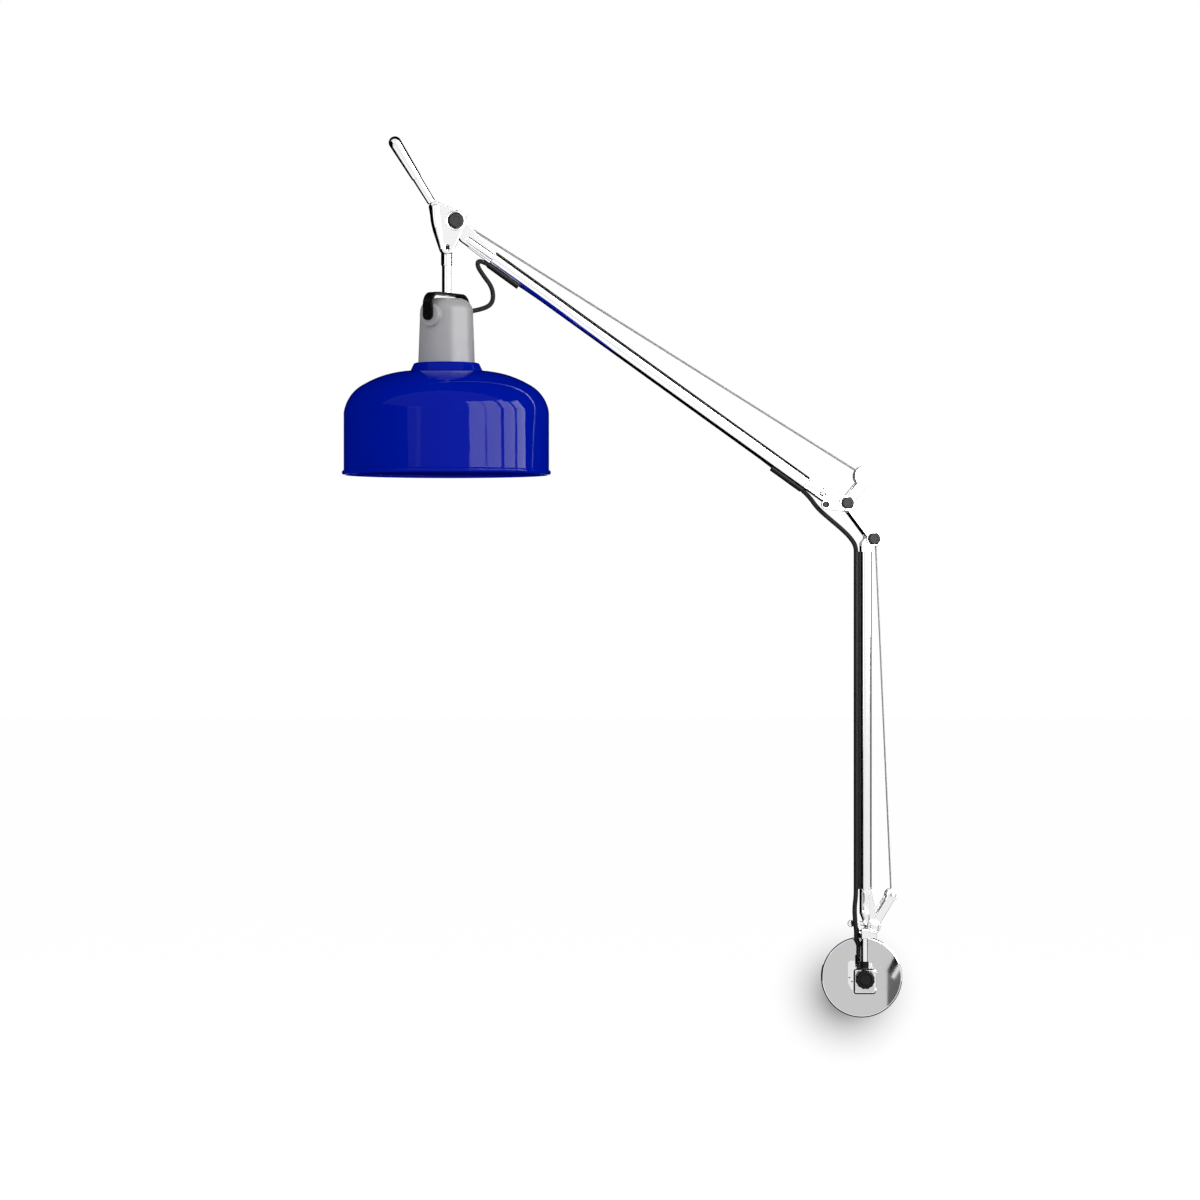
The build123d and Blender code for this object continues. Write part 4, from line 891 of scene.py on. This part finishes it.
# ---------------------------------------------------------------- operators
class LAMP_OT_metalwork(bpy.types.Operator):
    """Finish the rose, post, arms, link and head castings"""

    bl_idname = "lamp.metalwork"
    bl_label = "Metalwork"

    def execute(self, context):
        for node in nodes_in("polished", "mirror_chrome", "zinc_steel"):
            dressed(node, CAST_EDGE if node in CASTINGS else BROKEN_EDGE)
        for ring in EYE_RINGS:
            eye_ring(*ring)
        for necks, place in ((UPPER_NECKS, upper_point), (LOWER_NECKS, lower_point)):
            for index, (node, points) in enumerate(necks):
                rounded_bar(f"{node} neck {index}",
                            [place(along, beside) + ARM_W * out * MM
                             for along, beside, out, _ in points],
                            [row[3] * MM for row in points], node)
        spine = smooth_path(HEAD_SPINE)
        rounded_bar("Head spine",
                    [arm_point(HEAD_PIVOT[0] + row[0], HEAD_PIVOT[1] + row[1], row[2])
                     for row in spine], [row[3] * MM for row in spine], "head_casting")
        return {"FINISHED"}


class LAMP_OT_black_parts(bpy.types.Operator):
    """Finish the knob, caps, lead guides, bail and black screws"""

    bl_idname = "lamp.black_parts"
    bl_label = "Black parts"

    def execute(self, context):
        for node in nodes_in("black_plastic", "black_steel"):
            dressed(node)
        return {"FINISHED"}


class LAMP_OT_lampholder(bpy.types.Operator):
    """Finish the porcelain lampholder, terminal block and brass socket"""

    bl_idname = "lamp.lampholder"
    bl_label = "Lampholder"

    def execute(self, context):
        for node in nodes_in("glazed_porcelain", "brass_contact"):
            dressed(node)
        return {"FINISHED"}


class LAMP_OT_shade(bpy.types.Operator):
    """Spin the enamelled shade with its shoulder and rolled bead"""

    bl_idname = "lamp.shade"
    bl_label = "Shade"

    def execute(self, context):
        shade = turned("Enamelled shade", shade_profile(), "blue_enamel", SMOOTH_SHADE)
        stands_for(shade, "shade")
        return {"FINISHED"}


class LAMP_OT_wires(bpy.types.Operator):
    """Lay the arms' twisted steel wires"""

    bl_idname = "lamp.wires"
    bl_label = "Wires"

    def execute(self, context):
        sizes = context.scene.lamp_sizes
        for arm, width, lever, pivot in (
                ("lower", sizes.lower_wire, "post", arm_point(*POST_PIVOT)),
                ("upper", sizes.upper_wire, "elbow", arm_point(*ELBOW_HIGH))):
            node = arm + "_tension_wire"
            ends = wire_ends(node)
            wire = twisted(arm.capitalize() + " wire", ends, width, node)
            stretch_between(wire, lever, arm + "_arm", pivot, ends)
            dressed(arm + "_sheave_wire")
        return {"FINISHED"}


class LAMP_OT_lead(bpy.types.Operator):
    """Run the braided lead from the wall to the lampholder"""

    bl_idname = "lamp.lead"
    bl_label = "Lead"

    def execute(self, context):
        loop, elbow, foot = loop_route(), elbow_route(), foot_route()
        high, low = halfway(loop[3], loop[4]), halfway(loop[4], loop[5])
        turn = halfway(elbow[3], elbow[4])
        gap = halfway(foot[3], foot[4])
        stretches = (
            ("at the head", loop[:4] + [high], "lead_loop_arm", "upper_arm", "head"),
            ("beside the rod", [high, loop[4], low], "lead_loop_head", "head", "spindle"),
            ("into the holder", [low] + loop[5:], "lead_loop_holder", "spindle", "shade"),
            ("above the elbow", elbow[:4] + [turn], "lead_elbow_upper", "upper_arm", "elbow"),
            ("below the elbow", [turn] + elbow[4:], "lead_elbow_lower", "elbow", "lower_arm"),
            ("behind the post", foot[:4] + [gap], "lead_foot", "lower_arm", "post"),
            ("into the hub", [gap] + foot[4:], "lead_post", "post", "wall_base"),
        )
        for where, points, node, first, second in stretches:
            piece = braided("Lead " + where, points, node)
            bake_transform(piece, first, second, points[0], points[-1])
        inside = [upper_point(UPPER_MOUTH, LEAD_AT_HEAD),
                  upper_point(UPPER_MOUTH - LEAD_DIVE, LEAD_INSIDE),
                  upper_point(UPPER_FOOT + LEAD_DIVE, LEAD_INSIDE),
                  upper_point(UPPER_FOOT, LEAD_AT_ELBOW)]
        on_arm = [lower_point(LOWER_MOUTH, LEAD_BESIDE), lower_point(LOWER_FOOT, LEAD_BESIDE)]
        wall = [foot[-1], HUB + Vector((0, LEAD_BACK, 0)) * MM,
                Vector((0, -WALL_END * MM, 0))]
        for name, points, node in (("Lead in the upper arm", inside, "lead_upper"),
                                   ("Lead on the lower arm", on_arm, "lead_lower"),
                                   ("Lead in the hub", wall, "lead_wall")):
            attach(braided(name, points, node), body_with(node))
        return {"FINISHED"}


# ---------------------------------------------------------------- studio
CAMERA_PLACE = (-0.2585, -4.0, 0.3724)
SUBJECT = Vector((-0.25, -0.08, 0.37))
CAMERA_RAY, GLOSSY_RAY, TRANSMISSION_RAY = 0, 3, 6      # a Light Path node's outputs
WHITE, BLACK = (1, 1, 1, 1), (0, 0, 0, 1)
FLOOR_SIZE, FLOOR_PAINT, FLOOR_GLOW = 60, (0.82, 0.82, 0.82, 1), 0.62
# Shading on the wall: its darkest spot, how far it reaches, its depth, and its card's half size
SHADING_SPOT = (-0.014, 0.001, -0.016)
SHADING_REACH, SHADING_DEPTH, SHADING_MOST, SHADING_HALF = 0.078, 1.5, 0.8, 0.12
# Soft lights: name, power as a share of the key light's, size and place
LIGHTS = (("Key light", 1.0, 1.4, (1.7, -2.4, 1.7)),
          ("Fill light", 0.3, 1.6, (-2.4, -2.4, 0.9)))
# Dark cards seen only in polished surfaces: name, two corners, the axis they face, their place
CARDS = (
    ("above", (-3.0, -0.45), (3.0, 14.0), 2, 1.6),
    ("below", (-3.0, -0.45), (3.0, 14.0), 2, -0.58),
    ("left", (-3.4, -0.5), (14.0, 1.6), 0, -2.4),
    ("right", (0.2, -0.5), (14.0, 1.6), 0, 1.9),
)
# Shapes mirrored in the rose, each before the last: strength, how far before the camera, and
# corners in millimetres of the rose's face
MIRRORED = (
    (0.62, 0.0, ((-60, -60), (60, -60), (60, 60), (-60, 60))),
    (0.13, 0.01, ((24.5, -60), (60, -60), (60, 30), (37, 26), (25, 7))),
    (0.95, 0.02, ((28, 2), (31, -1), (43, 18), (40, 22))),
    (0.0, 0.03, ((24, 8), (28, 2), (40, 22), (34, 28))),
)
# Bright panes round the shade, between two angles to the right of straight out of the wall
PANES = ((27, 45), (46.5, 64), (68, 83), (86, 99))
PANE_AWAY, PANE_RISE, PANE_TALL, PANE_STRENGTH = 1.7, 0.35, 1.5, 14.0


def staged(bm, name, material):
    """Writes a bmesh to a studio object."""
    mesh = bpy.data.meshes.new(name)
    bm.to_mesh(mesh)
    bm.free()
    mesh.materials.append(material)
    card = bpy.data.objects.new(name, mesh)
    bpy.context.scene.collection.objects.link(card)
    return card


def plain_card(name, size, centre, facing, material):
    """A flat studio card of a width and height, facing a point."""
    bm = bmesh.new()
    way = (Vector(facing) - Vector(centre)).normalized()
    turn = way.to_track_quat("Z", "Y").to_matrix().to_4x4()
    bmesh.ops.create_grid(bm, x_segments=1, y_segments=1, size=0.5,
                          matrix=Matrix.Translation(centre) @ turn
                          @ Matrix.Diagonal((size[0], size[1], 1, 1)))
    return staged(bm, name, material)


def card_between(name, corners, material):
    """A flat studio card between its corners."""
    bm = bmesh.new()
    bmesh.ops.contextual_create(bm, geom=[bm.verts.new(corner) for corner in corners])
    return staged(bm, name, material)


def upright_card(name, low, high, axis, at, material):
    """A studio card square to one axis, between two corners given on the other two."""
    corners = []
    for first, second in ((low[0], low[1]), (high[0], low[1]), (high[0], high[1]),
                          (low[0], high[1])):
        corner = [first, second]
        corner.insert(axis, at)
        corners.append(corner)
    return card_between(name, corners, material)


def only_reflected(card):
    """The card shows in polished surfaces and nowhere else."""
    card.visible_camera = False
    card.visible_diffuse = False
    card.visible_shadow = False
    card.visible_transmission = False
    return card


def glow(name, colour, strength):
    """The material of a card that emits a colour."""
    shader = Shader(name)
    return shader.ending(shader.light(colour, strength))


def seen_share(shader, mirrored):
    """How bright a ray finds the surroundings: full to the camera, less when mirrored."""
    rays = shader.add("ShaderNodeLightPath")
    return (rays[CAMERA_RAY] + rays[GLOSSY_RAY] * mirrored + rays[TRANSMISSION_RAY]).clamped()


class LAMP_OT_studio(bpy.types.Operator):
    """Set the pale floor, soft light, reflected cards and camera"""

    bl_idname = "lamp.studio"
    bl_label = "Studio"

    def execute(self, context):
        studio = context.scene.lamp_studio
        scene = context.scene
        scene.view_settings.view_transform = "Standard"
        self.surroundings(scene, studio)
        self.floor(studio)
        self.rose_shadow()
        self.lights(studio)
        self.cards()
        self.camera(scene, studio)
        return {"FINISHED"}

    def surroundings(self, scene, studio):
        """White to camera and polished surfaces, softer as a light."""
        world = bpy.data.worlds.new("Studio")
        scene.world = world
        shader = Shader("Studio", world)
        shown = seen_share(shader, studio.mirrored)
        strength = shown * (1.0 - studio.ambient) + studio.ambient
        light = shader.add("ShaderNodeBackground", None,
                           {"Color": WHITE, "Strength": strength})[0]
        shader.add("ShaderNodeOutputWorld", None, {"Surface": light})

    def floor(self, studio):
        """Pale floor, white to the camera away from the shadow."""
        shader = Shader("Studio floor")
        shown = seen_share(shader, studio.mirrored)
        paint = shader.add("ShaderNodeBsdfDiffuse", None, {"Color": FLOOR_PAINT})[0]
        light = shader.light(WHITE, shown * FLOOR_GLOW)
        both = shader.add("ShaderNodeAddShader", None, {0: paint, 1: light})[0]
        plain_card("Studio floor", (FLOOR_SIZE, FLOOR_SIZE), (0, 0, studio.floor_level),
                   (0, 0, 10), shader.ending(both))

    def rose_shadow(self):
        """Faint soft shading on the wall round the rose, darkest below it."""
        shader = Shader("Wall shading")
        away = shader.distance(shader.add("ShaderNodeTexCoord")[3], SHADING_SPOT)
        near = (1.0 - away / SHADING_REACH).clamped()
        dark = (near * near * SHADING_DEPTH).clamped() * SHADING_MOST
        clear = shader.add("ShaderNodeBsdfTransparent")[0]
        mix = shader.add("ShaderNodeMixShader", None,
                         {0: dark, 1: clear, 2: shader.light(BLACK, 1.0)})[0]
        card = upright_card("Wall shading", [-SHADING_HALF] * 2, [SHADING_HALF] * 2, 1,
                            SHADING_SPOT[1], shader.ending(mix))
        card.visible_glossy = False
        card.visible_diffuse = False
        card.visible_shadow = False

    def lights(self, studio):
        """One large soft light at the upper right and a weaker one at the left."""
        for name, share, size, place in LIGHTS:
            lamp = bpy.data.lights.new(name, "AREA")
            lamp.shape = "SQUARE"
            lamp.size = size
            lamp.energy = studio.key * share
            holder = bpy.data.objects.new(name, lamp)
            holder.location = place
            way = SUBJECT - Vector(place)
            holder.rotation_euler = way.to_track_quat("-Z", "Y").to_euler()
            bpy.context.scene.collection.objects.link(holder)
            holder.visible_camera = False

    def cards(self):
        """Dark cards round the back, and bright panes at the right for the enamel."""
        black = glow("Black card", BLACK, 0.0)
        for name, low, high, axis, at in CARDS:
            only_reflected(upright_card("Card " + name, low, high, axis, at, black))
        for strength, before, shape in MIRRORED:
            corners = [(2 * x * MM - CAMERA_PLACE[0], CAMERA_PLACE[1] + before,
                        2 * z * MM - CAMERA_PLACE[2]) for x, z in shape]
            only_reflected(card_between("Mirrored card", corners,
                                        glow("Mirrored card", WHITE, strength)))
        pane = glow("Bright pane", WHITE, PANE_STRENGTH)
        for start, end in PANES:
            turn = math.radians((start + end) / 2)
            width = 2 * PANE_AWAY * math.tan(math.radians((end - start) / 2))
            place = LAMP_AXIS + Vector((math.sin(turn), -math.cos(turn), 0)) * PANE_AWAY
            place.z = HEAD_Z + PANE_RISE
            only_reflected(plain_card("Bright pane", (width, PANE_TALL), place,
                                      Vector((*LAMP_AXIS.xy, place.z)), pane))

    def camera(self, scene, studio):
        """A long lens square to the wall."""
        view = bpy.data.cameras.new("Camera")
        view.lens = studio.lens
        view.sensor_width = 36.0
        view.clip_end = 60.0
        camera = bpy.data.objects.new("Camera", view)
        camera.location = CAMERA_PLACE
        camera.rotation_euler = (math.pi / 2, 0, 0)
        scene.collection.objects.link(camera)
        scene.camera = camera


OPERATORS = (LAMP_OT_metalwork, LAMP_OT_black_parts, LAMP_OT_lampholder, LAMP_OT_shade,
             LAMP_OT_wires, LAMP_OT_lead, LAMP_OT_studio)


class LAMP_PT_panel(bpy.types.Panel):
    """The lamp's pieces, colours and sizes"""

    bl_idname = "LAMP_PT_panel"
    bl_label = "Articulating wall lamp"
    bl_space_type = "VIEW_3D"
    bl_region_type = "UI"
    bl_category = "Lamp"

    def draw(self, context):
        for group_name, group in GROUPS.items():
            values = getattr(context.scene, group_name)
            box = self.layout.box()
            for name in group.__annotations__:
                box.prop(values, name)
        for operator in OPERATORS:
            self.layout.operator(operator.bl_idname)


CLASSES = (*GROUPS.values(), *OPERATORS, LAMP_PT_panel)


def register():
    for item in CLASSES:
        bpy.utils.register_class(item)
    for name, group in GROUPS.items():
        setattr(bpy.types.Scene, name, bpy.props.PointerProperty(type=group))


def unregister():
    for name in GROUPS:
        delattr(bpy.types.Scene, name)
    for item in reversed(CLASSES):
        bpy.utils.unregister_class(item)


def main():
    """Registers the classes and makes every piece."""
    register()
    for operator in OPERATORS:
        family, name = operator.bl_idname.split(".")
        getattr(getattr(bpy.ops, family), name)()


if __name__ == "__main__":
    main()
